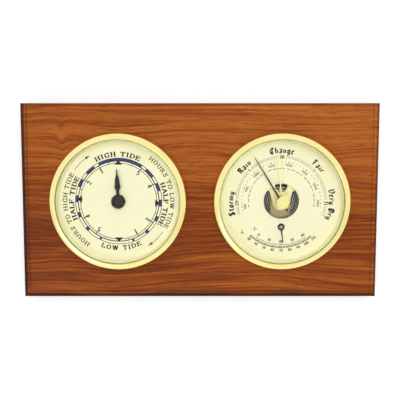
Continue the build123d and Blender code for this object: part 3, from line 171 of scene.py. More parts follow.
# Words in an upright broad-nib hand. Stems are minims, which reach from the base to the waist.
PEN_HAND = {
    "C": glyph(.74, bars=[(.42, .9, .42, .12)], curves=[[(.66, .84), (.46, .98), (.2, .82), (.12, .44),
               (.26, .1), (.46, .02), (.66, .16)]]),
    "D": glyph(.82, bars=[(.38, .88, .38, .1)], curves=[[(.08, .9), (.34, .98), (.6, .86), (.7, .5),
               (.6, .16), (.36, .02), (.12, .1)], [(.2, .92), (.14, .5), (.22, .08)]]),
    "F": glyph(.7, bars=[(.26, .94, .26, .06), (.26, .06, .08, 0), (.22, .5, .5, .54)],
               curves=[[(.08, .86), (.26, .98), (.46, .9), (.66, .98)]]),
    "R": glyph(.8, bars=[(.22, .94, .22, .04), (.46, .5, .72, .04), (.06, .9, .26, .98)],
               curves=[[(.22, .96), (.5, .98), (.62, .76), (.5, .54), (.24, .5)], [(.36, .96),
               (.34, .7), (.36, .5)]]),
    "S": glyph(.74, bars=[(.16, .72, .44, .5), (.44, .5, .6, .3)], curves=[[(.62, .84), (.44, .98),
               (.2, .92), (.14, .7)], [(.6, .32), (.56, .08), (.32, .02), (.1, .16)], [(.38, .98),
               (.34, .5), (.38, .04)]]),
    "V": glyph(.8, bars=[(.2, .92, .2, .12), (.2, .12, .4, 0), (.06, .88, .22, .98)], curves=[[(.4, .9),
               (.56, .98), (.68, .7), (.62, .3), (.4, .02)]]),
    "a": glyph(.58, stems=[.44], bars=[(.12, .6, .3, .66), (.3, .66, .44, .58), (.44, .36, .16, .26),
               (.14, .28, .14, .08), (.14, .08, .28, 0), (.28, 0, .44, .12)]),
    "e": glyph(.48, stems=[.14], bars=[(.14, .54, .3, .66), (.3, .66, .4, .52), (.4, .5, .16, .34),
               (.14, .1, .26, 0), (.26, 0, .42, .12)]),
    "g": glyph(.57, stems=[.14, .43], bars=[(.14, .54, .3, .66), (.3, .66, .43, .56), (.14, .1, .28, 0),
               (.28, 0, .43, .1)], curves=[[(.43, .12), (.43, -.14), (.3, -.28), (.1, -.22)]]),
    "h": glyph(.57, stems=[.43], bars=[(.14, 1, .14, .04), (.16, .54, .34, .66)]),
    "i": glyph(.28, stems=[.14], bars=[(.12, .84, .18, .9)]),
    "m": glyph(.86, stems=[.14, .43, .72], bars=[(.16, .54, .34, .66), (.45, .54, .63, .66)]),
    "n": glyph(.57, stems=[.14, .43], bars=[(.16, .54, .34, .66)]),
    "o": glyph(.56, stems=[.14, .42], bars=[(.14, .54, .3, .66), (.3, .66, .42, .54), (.14, .1, .28, 0),
               (.28, 0, .42, .1)]),
    "r": glyph(.44, stems=[.14], bars=[(.16, .52, .3, .64), (.3, .64, .42, .54)]),
    "t": glyph(.44, bars=[(.2, .84, .2, .12), (.2, .12, .36, .02), (.04, .62, .38, .62)]),
    "y": glyph(.57, stems=[.14, .43], bars=[(.14, .1, .28, 0), (.28, 0, .43, .1)], curves=[[(.43, .2),
               (.42, -.08), (.3, -.26), (.1, -.28)]]),
    " ": glyph(.34),
}
MINIM = .58
STEM_FOOT = .02
SERIF_INSET = .025


def glyph_strokes(letters, letter, pen):
    """The sides of every stroke of one letter. A stem has a thin bar, its serif, across each end."""
    _, stems, bars, curves, ovals = letters[letter]
    top = MINIM if letters is PEN_HAND else 1.0
    paths = [bar((x, STEM_FOOT), (x, top)) for x in stems]
    if pen.serif:
        paths += [bar((x - pen.serif, y), (x + pen.serif, y)) for x in stems
                  for y in (SERIF_INSET, top - SERIF_INSET)]
    paths += [bar((x0, y0), (x1, y1)) for x0, y0, x1, y1 in bars]
    paths += [curve(points) for points in curves] + [oval(*form) for form in ovals]
    return [pen.edges(path) for path in paths]


def ray_at(angle):
    """The unit step outwards at a dial angle."""
    turn = math.radians(angle)
    return np.array([math.sin(turn), math.cos(turn)])


def beside(ray):
    """The unit step to the right of a ray."""
    return np.array([ray[1], -ray[0]])


ARC_STEP = 1.5
POINT_HALF_WIDTH = 0.02
DOT_END_HALF_WIDTH = 0.01
DOT_POINTS = 7


class Ink:
    """Gathers strokes on one dial and makes them one mesh of thin plates."""

    def __init__(self):
        self.corners, self.faces, self.count = [], [], 0

    def stroke(self, left, right):
        """A strip between two sides, carried back by the ink's thickness: four rails and two end caps."""
        n = len(left)
        front, back = DIAL_FACE - INK_GAP - INK_THICKNESS, DIAL_FACE - INK_GAP
        rails = [(left, front), (right, front), (right, back), (left, back)]
        points = np.stack([np.stack([p[:, 0] * MM, np.full(n, y), p[:, 1] * MM], 1) for p, y in rails], 1)
        i = np.arange(n - 1)[:, None] * 4
        k = np.arange(4)[None, :]
        quads = np.stack([i + k, i + (k + 1) % 4, i + 4 + (k + 1) % 4, i + 4 + k], 2).reshape(-1, 4)
        last = (n - 1) * 4
        caps = np.array([[3, 2, 1, 0], [last, last + 1, last + 2, last + 3]])
        self.corners.append(points.reshape(-1, 3))
        self.faces.append(np.vstack([quads, caps]) + self.count)
        self.count += 4 * n

    def arc(self, inner, outer, start, end, centre=(0.0, 0.0)):
        """A band of a circle between two radii and two dial angles."""
        t = np.radians(np.linspace(start, end, max(2, int(abs(end - start) / ARC_STEP) + 2)))
        ray = np.stack([np.sin(t), np.cos(t)], 1)
        self.stroke(np.array(centre) + outer * ray, np.array(centre) + inner * ray)

    def ring(self, radius, width, start=0.0, end=360.0):
        """A thin line along a circle, half its width to either side of the radius."""
        self.arc(radius - width / 2, radius + width / 2, start, end)

    def tick(self, inner, outer, angle, width):
        """A straight radial mark."""
        ray = ray_at(angle)
        path = np.array([inner, outer])[:, None] * ray
        side = beside(ray) * width / 2
        self.stroke(path - side, path + side)

    def wedge(self, base, tip, angle, width):
        """A triangle whose base lies across the ray at one radius and whose tip is at another."""
        ray = ray_at(angle)
        path = np.array([base, tip])[:, None] * ray
        side = np.array([width / 2, POINT_HALF_WIDTH])[:, None] * beside(ray)
        self.stroke(path - side, path + side)

    def dot(self, radius, angle, size):
        """A round dot, as a strip whose half width follows a circle."""
        ray = ray_at(angle)
        t = np.linspace(-1, 1, DOT_POINTS)[:, None] * np.pi / 2
        path = (radius + size * np.sin(t)) * ray
        side = beside(ray) * (size * np.cos(t) + DOT_END_HALF_WIDTH)
        self.stroke(path - side, path + side)

    def words(self, text, letters, pen, cap, radius, angle, spread=0.0, inward=False):
        """Letters bent round a circle, centred on a dial angle. Inward ones have their tops inwards."""
        widths = [letters[c][0] * cap + spread for c in text]
        along = -(sum(widths) - spread) / 2
        for letter, width in zip(text, widths):
            for sides in glyph_strokes(letters, letter, pen):
                self.stroke(*(self.bend(side * cap + (along, 0), radius, angle, inward) for side in sides))
            along += width

    @staticmethod
    def bend(points, radius, angle, inward):
        """x becomes an angle at the base circle and y a step out from it, or in where the tops point in."""
        sign = -1 if inward else 1
        turn = math.radians(angle) + sign * points[:, 0] / radius
        reach = radius + sign * points[:, 1]
        return np.stack([reach * np.sin(turn), reach * np.cos(turn)], 1)

    def piece(self, name, x, material, slot):
        """The gathered strokes as one piece on the dial whose centre is at x."""
        mesh = bpy.data.meshes.new(name)
        corners = np.vstack(self.corners) + (x, 0, 0)
        mesh.from_pydata(corners.tolist(), [], np.vstack(self.faces).tolist())
        mesh.materials.append(material)
        mesh.update()
        body = bpy.data.objects.new(name, mesh)
        bpy.context.scene.collection.objects.link(body)
        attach(body, "plaque")


# Materials

def new_material(name):
    """A material with its node tree and its Principled shader."""
    material = bpy.data.materials.new(name)
    material.use_nodes = True
    tree = material.node_tree
    return material, tree, tree.nodes["Principled BSDF"]


def set_values(shader, values):
    """Plain values for named inputs of a shader."""
    for label, value in values.items():
        shader.inputs[label].default_value = value


def object_place(tree):
    """The Object coordinates."""
    return tree.nodes.new("ShaderNodeTexCoord").outputs["Object"]


def place_axes(tree):
    """The X, Y and Z of the Object coordinates."""
    split = tree.nodes.new("ShaderNodeSeparateXYZ")
    tree.links.new(object_place(tree), split.inputs[0])
    return split.outputs


def math_node(tree, operation, a, b=None, clamp=False):
    """One arithmetic node on sockets or plain numbers."""
    node = tree.nodes.new("ShaderNodeMath")
    node.operation = operation
    node.use_clamp = clamp
    for socket, value in zip(node.inputs, (a, b)):
        if isinstance(value, (int, float)):
            socket.default_value = value
        elif value is not None:
            tree.links.new(value, socket)
    return node.outputs[0]


def weighted_sum(tree, *terms):
    """The sum of sockets, each times its weight."""
    total = None
    for socket, weight in terms:
        term = math_node(tree, "MULTIPLY", socket, weight)
        total = term if total is None else math_node(tree, "ADD", total, term)
    return total


def noise_node(tree, place, scale, detail, roughness, stretch=(1, 1, 1), offset=(0, 0, 0)):
    """Noise over the coordinates, stretched along the axes."""
    mapping = tree.nodes.new("ShaderNodeMapping")
    mapping.inputs["Scale"].default_value = stretch
    mapping.inputs["Location"].default_value = offset
    tree.links.new(place, mapping.inputs["Vector"])
    node = tree.nodes.new("ShaderNodeTexNoise")
    set_values(node, {"Scale": scale, "Detail": detail, "Roughness": roughness})
    tree.links.new(mapping.outputs[0], node.inputs["Vector"])
    return node.outputs["Fac"]


def ramp_node(tree, value, stops):
    """A colour ramp from pairs of position and colour."""
    node = tree.nodes.new("ShaderNodeValToRGB")
    ramp = node.color_ramp
    while len(ramp.elements) < len(stops):
        ramp.elements.new(0.5)
    for element, (position, colour) in zip(ramp.elements, stops):
        element.position = position
        element.color = (*colour, 1)
    tree.links.new(value, node.inputs[0])
    return node.outputs["Color"]


def mix_node(tree, share, a, b, blend="MIX"):
    """A mix of two colours by a share."""
    node = tree.nodes.new("ShaderNodeMix")
    node.data_type = "RGBA"
    node.blend_type = blend
    for socket, value in ((node.inputs[0], share), (node.inputs[6], a), (node.inputs[7], b)):
        if isinstance(value, (int, float)):
            socket.default_value = value
        elif isinstance(value, tuple):
            socket.default_value = (*value, 1)
        else:
            tree.links.new(value, socket)
    return node.outputs[2]


def range_node(tree, value, low, high, new_low, new_high):
    """A value carried from one range to another and held within it."""
    node = tree.nodes.new("ShaderNodeMapRange")
    tree.links.new(value, node.inputs[0])
    for socket, number in zip(node.inputs[1:5], (low, high, new_low, new_high)):
        socket.default_value = number
    return node.outputs[0]


def bump_node(tree, shader, height, distance, strength):
    """Feeds a height into the shader's normal."""
    node = tree.nodes.new("ShaderNodeBump")
    set_values(node, {"Distance": distance, "Strength": strength})
    tree.links.new(height, node.inputs["Height"])
    tree.links.new(node.outputs[0], shader.inputs["Normal"])


def new_group(name, inputs, outputs):
    """An empty shader group with named values in and out. Each input comes with its default."""
    group = bpy.data.node_groups.new(name, "ShaderNodeTree")
    for label, default in inputs.items():
        socket = group.interface.new_socket(label, in_out="INPUT", socket_type="NodeSocketFloat")
        socket.default_value = default
    for label in outputs:
        group.interface.new_socket(label, in_out="OUTPUT", socket_type="NodeSocketFloat")
    return group, group.nodes.new("NodeGroupInput").outputs, group.nodes.new("NodeGroupOutput").inputs


SMUDGE_SCALE = 90.0
SMUDGE_LOW, SMUDGE_HIGH = 0.5, 0.72
SMUDGE_OFFSET = (3.1, 1.7, 0.4)


def handled_surface():
    """Cloudy shade, fine grain and smudges that every finish shares.

    Cloud is slow noise, Grain is fine noise and Smudge is medium noise held to its upper part.
    """
    group, ins, outs = new_group("handled_surface", {"Cloud Scale": 40.0, "Grain Scale": 2500.0},
                                 ("Cloud", "Grain", "Smudge"))
    place = object_place(group)
    for label, detail in (("Cloud", 3.0), ("Grain", 2.0)):
        node = group.nodes.new("ShaderNodeTexNoise")
        node.inputs["Detail"].default_value = detail
        group.links.new(place, node.inputs["Vector"])
        group.links.new(ins[label + " Scale"], node.inputs["Scale"])
        group.links.new(node.outputs["Fac"], outs[label])
    smudge = noise_node(group, place, SMUDGE_SCALE, 4.0, 0.6, offset=SMUDGE_OFFSET)
    group.links.new(range_node(group, smudge, SMUDGE_LOW, SMUDGE_HIGH, 0.0, 1.0), outs["Smudge"])
    return group


def turned_lines():
    """Fine lathe lines about an axis along Y: noise read along the distance from the axis alone."""
    group, ins, outs = new_group("turned_lines", {"Centre X": 0.0, "Centre Z": 0.0, "Lines": 4000.0},
                                 ("Line", "Radius"))
    axes = place_axes(group)
    x = math_node(group, "SUBTRACT", axes["X"], ins["Centre X"])
    z = math_node(group, "SUBTRACT", axes["Z"], ins["Centre Z"])
    radius = math_node(group, "SQRT", weighted_sum(group, (x, x), (z, z)))
    noise = group.nodes.new("ShaderNodeTexNoise")
    noise.noise_dimensions = "1D"
    set_values(noise, {"Scale": 1.0, "Detail": 2.0})
    group.links.new(math_node(group, "MULTIPLY", radius, ins["Lines"]), noise.inputs["W"])
    group.links.new(noise.outputs["Fac"], outs["Line"])
    group.links.new(radius, outs["Radius"])
    return group


HANDLED = handled_surface()
TURNED = turned_lines()


def use_group(tree, group, **values):
    """Places a group in a material with its own values."""
    node = tree.nodes.new("ShaderNodeGroup")
    node.node_tree = group
    set_values(node, {label.replace("_", " "): value for label, value in values.items()})
    return node.outputs


def from_axis(tree, centre_x):
    """The distance from one instrument's axis."""
    return use_group(tree, TURNED, Centre_X=centre_x, Centre_Z=0.0)["Radius"]


CLOUD_LOW, CLOUD_HIGH = 0.35, 0.68
GRAIN_SHARE, SMUDGE_SHARE = 0.7, 0.5
SPREAD_LOW, SPREAD_HIGH = 0.2, 0.8
RELIEF_STRENGTH = 0.35


def finish(name, light, dark, metallic=0.0, rough=(0.35, 0.5), cloud=40.0, grain=2500.0, bump=0.00002,
           turned=None, specular=0.5):
    """A worked finish: two tones by cloud, roughness by grain and smudges, and a fine relief.

    Where turned gives the axis along X and the lines per metre, lathe lines take the place of the grain.
    """
    material, tree, shader = new_material(name)
    marks = use_group(tree, HANDLED, Cloud_Scale=cloud, Grain_Scale=grain)
    tone = range_node(tree, marks["Cloud"], CLOUD_LOW, CLOUD_HIGH, 0.0, 1.0)
    tree.links.new(mix_node(tree, tone, dark, light), shader.inputs["Base Color"])
    fine = marks["Grain"]
    if turned:
        fine = use_group(tree, TURNED, Centre_X=turned[0], Centre_Z=0.0, Lines=turned[1])["Line"]
    spread = weighted_sum(tree, (fine, GRAIN_SHARE), (marks["Smudge"], SMUDGE_SHARE))
    roughness = range_node(tree, spread, SPREAD_LOW, SPREAD_HIGH, *rough)
    tree.links.new(roughness, shader.inputs["Roughness"])
    bump_node(tree, shader, fine, bump, RELIEF_STRENGTH)
    set_values(shader, {"Metallic": metallic, "Specular IOR Level": specular})
    return material


def mix_over(material, share, colour):
    """Lays a colour over a finish by a share."""
    tree = material.node_tree
    base = tree.nodes["Principled BSDF"].inputs["Base Color"]
    tree.links.new(mix_node(tree, share, base.links[0].from_socket, colour), base)


# The oak's figure. Each noise has its detail, roughness, waves per metre along X, Y and Z and an offset.
OAK_SWAY = (2.0, 0.5, (5.0, 5.0, 14.0))
OAK_SLOW = (3.0, 0.55, (4.0, 20.0, 110.0))
OAK_BANDS = (1.0, 0.5, (15.0, 60.0, 520.0), (4, 1, 2))
OAK_FIBRES = (3.0, 0.6, (30.0, 300.0, 1300.0))
OAK_PORES = (1.0, 0.5, (110.0, 900.0, 2600.0), (7, 3, 1))
OAK_PATCHES = (2.0, 0.5, (7.0, 7.0, 16.0), (2, 0, 5))
OAK_TONES = [(0.42, (0.190, 0.037, 0.0062)), (0.54, (0.270, 0.056, 0.0085)), (0.61, (0.360, 0.080, 0.0110)),
             (0.69, (0.460, 0.117, 0.0160)), (0.82, (0.600, 0.172, 0.0260))]
PORE_COLOUR = (0.050, 0.011, 0.004)
PORE_SHARE = 0.55
PORE_LOW, PORE_HIGH = 0.30, 0.42
PORE_DEPTH = 0.8
OAK_RELIEF = 0.00012
BANDS_SHARE, FIBRES_SHARE, PATCHES_SHARE, SLOW_SHARE = 0.5, 0.25, 0.2, 0.3
SWAY_REACH = 0.032
KNOT_X, KNOT_Z = -0.1170, 0.054
KNOT_HALF_WIDTH, KNOT_HALF_HEIGHT = 0.0036, 0.015
KNOT_LIFT = 0.0045
# Painted light: the board's tone is raised to the right and towards the top, where the key lamp falls, and
# lowered to the lower left.
PAINTED_LIGHT_TO_THE_RIGHT = 0.24
PAINTED_LIGHT_TO_THE_TOP = (-0.02, 0.08, -0.046, 0.092)

# Painted shade and highlight by the distance from an edge in centimetres: painted shade on the rounded edge
# and at the foot of its step, and a painted highlight on the ledge between them. Each side has its own
# ramp, lighter where the light falls.
CENTIMETRES = 100.0
LOW_EDGE_PAINTED_LIGHT = [(0.0, 0.16), (0.28, 0.20), (0.36, 0.50), (0.41, 1.10), (0.48, 1.05), (0.53, 0.48),
                  (0.60, 0.70), (0.72, 0.97), (1.0, 1.0)]
RIGHT_EDGE_PAINTED_LIGHT = [(0.0, 0.40), (0.20, 0.45), (0.28, 0.85), (0.35, 1.25), (0.46, 1.20), (0.52, 0.72),
                    (0.60, 0.86), (0.72, 1.0), (1.0, 1.0)]
TOP_EDGE_PAINTED_LIGHT = [(0.0, 0.60), (0.10, 0.50), (0.22, 0.85), (0.34, 1.05), (0.40, 1.28), (0.49, 1.25),
                  (0.54, 0.84), (0.64, 0.97), (1.0, 1.0)]


def oak_grain_place(tree, x, y, z):
    """The coordinates of the grain: height is moved by slow noise and by a bell round the knot."""
    sway = math_node(tree, "SUBTRACT", noise_node(tree, object_place(tree), 1.0, *OAK_SWAY), 0.5)
    across = math_node(tree, "DIVIDE", math_node(tree, "SUBTRACT", x, KNOT_X), KNOT_HALF_WIDTH)
    up = math_node(tree, "DIVIDE", math_node(tree, "SUBTRACT", z, KNOT_Z), KNOT_HALF_HEIGHT)
    reach = weighted_sum(tree, (across, across), (up, up))
    bell = math_node(tree, "POWER", math.e, math_node(tree, "MULTIPLY", reach, -1.0))
    moved = math_node(tree, "ADD", z, weighted_sum(tree, (sway, SWAY_REACH), (bell, KNOT_LIFT)))
    joined = tree.nodes.new("ShaderNodeCombineXYZ")
    for socket, value in zip(joined.inputs, (x, y, moved)):
        tree.links.new(value, socket)
    return joined.outputs[0]


def oak_finish():
    """Stained oak: growth bands and fibres along X, a swirl round a knot, dark pores and a satin varnish.

    Bands, fibres and pores are noise that is stretched along the board. The rounded edge and the foot of
    its step get painted shade and the ledge between them a painted highlight, set for each side by where
    the light falls. The board is also painted lighter to the right and towards the top.
    """
    material, tree, shader = new_material("stained_oak")
    x, y, z = place_axes(tree)
    grain_place = oak_grain_place(tree, x, y, z)
    slow, bands, fibres, pores = (noise_node(tree, grain_place, 1.0, *noise)
                                  for noise in (OAK_SLOW, OAK_BANDS, OAK_FIBRES, OAK_PORES))
    patches = noise_node(tree, object_place(tree), 1.0, *OAK_PATCHES)
    # The tone carries painted light: lighter to the right and towards the top.
    tone = weighted_sum(tree, (bands, BANDS_SHARE), (fibres, FIBRES_SHARE), (patches, PATCHES_SHARE),
                        (slow, SLOW_SHARE), (x, PAINTED_LIGHT_TO_THE_RIGHT))
    tone = math_node(tree, "ADD", tone, range_node(tree, z, *PAINTED_LIGHT_TO_THE_TOP))
    colour = ramp_node(tree, tone, OAK_TONES)
    pore = range_node(tree, pores, PORE_LOW, PORE_HIGH, 1.0, 0.0)
    colour = mix_node(tree, math_node(tree, "MULTIPLY", pore, PORE_SHARE), colour, PORE_COLOUR)
    # Painted shade on the rounded edges and at the step, and a painted highlight on the ledge, set for each
    # side.
    from_low = math_node(tree, "MINIMUM", math_node(tree, "ADD", x, BOARD_HALF_WIDTH),
                         math_node(tree, "ADD", z, BOARD_HALF_HEIGHT))
    from_right = math_node(tree, "SUBTRACT", BOARD_HALF_WIDTH, x)
    from_top = math_node(tree, "SUBTRACT", BOARD_HALF_HEIGHT, z)
    for inset, edge_light in ((from_low, LOW_EDGE_PAINTED_LIGHT), (from_right, RIGHT_EDGE_PAINTED_LIGHT),
                         (from_top, TOP_EDGE_PAINTED_LIGHT)):
        shade = ramp_node(tree, math_node(tree, "MULTIPLY", inset, CENTIMETRES),
                          [(at, (level,) * 3) for at, level in edge_light])
        colour = mix_node(tree, 1.0, colour, shade, "MULTIPLY")
    tree.links.new(colour, shader.inputs["Base Color"])
    tree.links.new(range_node(tree, fibres, 0.3, 0.7, 0.50, 0.36), shader.inputs["Roughness"])
    relief = math_node(tree, "SUBTRACT", fibres, math_node(tree, "MULTIPLY", pore, PORE_DEPTH))
    bump_node(tree, shader, relief, OAK_RELIEF, RELIEF_STRENGTH)
    set_values(shader, {"Coat Weight": 0.06, "Coat Roughness": 0.25, "Specular IOR Level": 0.10})
    return material


DIAL_COLOUR = (0.955, 0.925, 0.635)
DIAL_RIM_COLOUR = (0.945, 0.890, 0.545)
DIAL_FADE_START, DIAL_FADE_END = 0.030, 0.053


def dial_finish():
    """Ivory paint that yellows a little towards the rim of each dial."""
    material, tree, shader = new_material("ivory_paint")
    marks = use_group(tree, HANDLED, Cloud_Scale=35.0, Grain_Scale=4000.0)
    radius = math_node(tree, "MINIMUM", from_axis(tree, TIDE_X), from_axis(tree, BAROMETER_X))
    rim = range_node(tree, radius, DIAL_FADE_START, DIAL_FADE_END, 0.0, 1.0)
    rim = weighted_sum(tree, (rim, 0.8), (marks["Cloud"], 0.2))
    tree.links.new(mix_node(tree, rim, DIAL_COLOUR, DIAL_RIM_COLOUR), shader.inputs["Base Color"])
    tree.links.new(range_node(tree, marks["Grain"], 0.3, 0.7, 0.55, 0.42), shader.inputs["Roughness"])
    bump_node(tree, shader, marks["Grain"], 0.00001, 0.2)
    shader.inputs["Specular IOR Level"].default_value = 0.25
    return material


def glass_finish():
    """Clear flat glass: faint smudges roughen it, and shadow rays pass, so that light reaches the dial."""
    material, tree, shader = new_material("clear_glass")
    set_values(shader, {"Base Color": (0.985, 0.99, 0.985, 1), "Transmission Weight": 1.0, "IOR": 1.18})
    smudge = use_group(tree, HANDLED)["Smudge"]
    tree.links.new(range_node(tree, smudge, 0.0, 1.0, 0.0, 0.03), shader.inputs["Roughness"])
    mix = tree.nodes.new("ShaderNodeMixShader")
    shadow = tree.nodes.new("ShaderNodeLightPath").outputs["Is Shadow Ray"]
    clear = tree.nodes.new("ShaderNodeBsdfTransparent").outputs[0]
    for socket, value in zip(mix.inputs, (shadow, shader.outputs[0], clear)):
        tree.links.new(value, socket)
    tree.links.new(mix.outputs[0], tree.nodes["Material Output"].inputs["Surface"])
    return material


CELL_COLOURS = [(0.0, (0.45, 0.45, 0.44)), (0.02, (0.018, 0.019, 0.022)), (0.70, (0.020, 0.021, 0.024)),
                (0.705, (0.55, 0.27, 0.12)), (0.965, (0.60, 0.30, 0.14)), (0.975, (0.62, 0.62, 0.60))]


def cell_finish():
    """A plain cell along X: bare metal at both ends, and a dark jacket with a copper-coloured part."""
    material, tree, shader = new_material("cell_jacket")
    low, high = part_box("battery")
    marks = use_group(tree, HANDLED, Cloud_Scale=60.0, Grain_Scale=3000.0)
    share = range_node(tree, place_axes(tree)["X"], low.x, high.x, 0.0, 1.0)
    tree.links.new(ramp_node(tree, share, CELL_COLOURS), shader.inputs["Base Color"])
    tree.links.new(range_node(tree, marks["Grain"], 0.3, 0.7, 0.36, 0.26), shader.inputs["Roughness"])
    bump_node(tree, shader, marks["Cloud"], 0.00003, 0.3)
    shader.inputs["Metallic"].default_value = 0.35
    return material


def coil_finish():
    """Enamelled copper wire wound round an axis along X: a fine wave along X for the turns, with painted
    shade in the grooves between turns and a painted highlight on their crowns.
    """
    material, tree, shader = new_material("copper_winding")
    turns = math_node(tree, "MULTIPLY", place_axes(tree)["X"], 2 * math.pi / COIL_WIRE)
    wave = range_node(tree, math_node(tree, "SINE", turns), -1.0, 1.0, 0.0, 1.0)
    # Painted shade and highlight: the wave darkens the copper in the grooves between turns and lightens it
    # on their crowns.
    copper = mix_node(tree, wave, (0.28, 0.09, 0.03), (0.72, 0.33, 0.14))
    tree.links.new(copper, shader.inputs["Base Color"])
    bump_node(tree, shader, wave, 0.00006, 0.8)
    set_values(shader, {"Metallic": 0.9, "Roughness": 0.32})
    return material


PAINTED_CREST_HIGHLIGHT = (0.80, 0.76, 0.62)


def capsule_finish():
    """Dark pressed bronze with a painted highlight on each wave's crest: a wave along the distance from its
    axis.
    """
    material = finish("dark_bronze", (0.050, 0.043, 0.030), (0.030, 0.026, 0.018), 0.3, (0.30, 0.46), 110.0)
    tree = material.node_tree
    waves = math_node(tree, "MULTIPLY", from_axis(tree, BAROMETER_X), 2 * math.pi / CAPSULE_WAVE)
    # Painted highlight: a light ring along each crest of the capsule's waves, where light catches it.
    crest_highlight = range_node(tree, math_node(tree, "COSINE", waves), 0.0, 0.7, 0.0, 1.0)
    mix_over(material, crest_highlight, PAINTED_CREST_HIGHLIGHT)
    return material


LATHE_LINES = 5000.0
PAINTED_CORNER_SHADE = (0.44, 0.40, 0.14)
CORNER_FULL, CORNER_END, CORNER_INSIDE = 0.0004, 0.0009, -0.001


def brass_finish(name, centre_x):
    """Polished pale brass, with lathe lines about one instrument's axis and painted shade in the corner by
    the glass.
    """
    material = finish(name, (0.975, 0.885, 0.400), (0.960, 0.845, 0.330), 1.0, (0.10, 0.22), 30.0,
                      bump=0.000004, turned=(centre_x, LATHE_LINES))
    tree = material.node_tree
    radius = from_axis(tree, centre_x)
    # Painted shade: the bezel's inner wall next to the glass is darkened to olive, where shade falls in the
    # recess.
    opening = BEZEL_RADIUS - BEZEL_BAND
    within = range_node(tree, radius, opening + CORNER_FULL, opening + CORNER_END, 1.0, 0.0)
    beyond = math_node(tree, "GREATER_THAN", radius, opening + CORNER_INSIDE)
    mix_over(material, math_node(tree, "MULTIPLY", within, beyond), PAINTED_CORNER_SHADE)
    return material


MATERIALS = {
    "oak": oak_finish(),
    "tide_brass": brass_finish("tide_brass", TIDE_X),
    "barometer_brass": brass_finish("barometer_brass", BAROMETER_X),
    "small_brass": finish("small_brass", (0.88, 0.74, 0.38), (0.76, 0.60, 0.27), 1.0, (0.18, 0.34), 150.0),
    "gold_plate": finish("gold_plate", (0.80, 0.72, 0.40), (0.66, 0.58, 0.29), 1.0, (0.28, 0.45), 120.0),
    # spring_leaf is gold plate at about half its brightness: painted shade for the main spring under the
    # bridge. The thermometer arbor takes the same darker gold.
    "spring_leaf": finish("spring_leaf", (0.44, 0.35, 0.19), (0.34, 0.27, 0.14), 1.0, (0.30, 0.46), 120.0),
    "pale_gold_paint": finish("pale_gold_paint", (0.97, 0.94, 0.66), (0.96, 0.92, 0.60), 0.0, (0.40, 0.55),
                              60.0, specular=0.3),
    "clear_glass": glass_finish(),
    "ivory_dial": dial_finish(),
    "black_paint": finish("black_paint", (0.018, 0.015, 0.010), (0.011, 0.009, 0.006), 0.0, (0.30, 0.46),
                          120.0, specular=0.22),
    "steel": finish("plain_steel", (0.62, 0.62, 0.60), (0.48, 0.48, 0.47), 1.0, (0.24, 0.42), 100.0),
    "zinc": finish("yellow_zinc", (0.66, 0.58, 0.40), (0.54, 0.50, 0.40), 1.0, (0.26, 0.44), 90.0),
    "rubber": finish("black_rubber", (0.030, 0.030, 0.030), (0.020, 0.020, 0.020), 0.0, (0.62, 0.85), 90.0,
                     1500.0, 0.00004),
    "black_plastic": finish("black_plastic", (0.034, 0.034, 0.036), (0.022, 0.022, 0.024), 0.0,
                            (0.42, 0.60), 80.0, 1800.0, 0.00004),
    "white_plastic": finish("white_plastic", (0.80, 0.79, 0.74), (0.72, 0.71, 0.66), 0.0, (0.38, 0.52),
                            80.0, 2000.0),
    "copper": coil_finish(),
    "green_laminate": finish("green_laminate", (0.030, 0.190, 0.070), (0.018, 0.120, 0.045), 0.0,
                             (0.28, 0.45), 200.0),
    "bronze": capsule_finish(),
    "cell_label": cell_finish(),
    "black_ink": finish("black_ink", (0.024, 0.022, 0.016), (0.016, 0.015, 0.011), 0.0, (0.55, 0.70), 200.0,
                        specular=0.2),
    "blue_ink": finish("blue_ink", (0.040, 0.055, 0.225), (0.028, 0.040, 0.170), 0.0, (0.55, 0.70), 200.0,
                       specular=0.2),
    "grey_ink": finish("grey_ink", (0.20, 0.19, 0.13), (0.16, 0.15, 0.10), 0.0, (0.55, 0.70), 200.0,
                       specular=0.2),
}

# Nodes whose finish is not the one that the record's slot names.
OWN_FINISH = {"tide_bezel": "tide_brass", "barometer_bezel": "barometer_brass",
              "set_hand_knob": "barometer_brass", "set_hand": "barometer_brass",
              # The main spring's darker gold is painted shade.
              "main_spring": "spring_leaf", "thermometer_arbor": "spring_leaf"}
for part in frame["record"]["subparts"]:
    node, slot = part["node"], part["material_slot"]
    slot = OWN_FINISH.get(node, "small_brass" if slot == "brass" else slot)
    data = nodes[node].data
    data.materials.clear()
    data.materials.append(MATERIALS[slot])


# Dial printing, in millimetres and degrees

BOLD = Pen(0.30, 0.11, 8, 0.23)
PLAIN = Pen(0.22, 0.11, 8, 0.16)
FIGURES = Pen(0.25, 0.12, 12, 0.14)
SMALL_FIGURES = Pen(0.20, 0.11, 12, 0.0)
UPRIGHT_HAND = Pen(0.28, 0.09, 42, 0.0)

TIDE_HOUR = 360 / 12.42
TIDE_OUTER, TIDE_MIDDLE, TIDE_INNER = 37.0, 34.6, 32.7
THIN_CIRCLE, BROAD_CIRCLE = 0.5, 0.8
HOUR_TICK_INNER, HOUR_TICK_WIDTH = 30.9, 0.65
HALF_HOUR_WIDTH = 0.5
HOUR_FIGURES, HOUR_FIGURE_CAP = 27.6, 3.8
HALF_TIDE_HOUR = 3
WEDGE_BASE, WEDGE_TIP, WEDGE_WIDTH = 31.4, 35.1, 6.8

BLOCK_INNER = TIDE_MIDDLE + 0.3
TOP_BLOCK = (-28, 34)
BLOCKS_MIDDLE = 3.0
BLOCK_PAIRS = 6
FIRST_BLOCK, BLOCK_STEP = 44.8, 22.4
BLOCK_WIDTH, BLOCK_NARROWING = 14.0, 2.16

TIDE_WORD_CAP, TIDE_WORDS = 3.9, 38.5
LOW_TIDE_WORDS = 42.4
HOUR_WORD_CAP, HOUR_WORDS = 3.6, 44.1

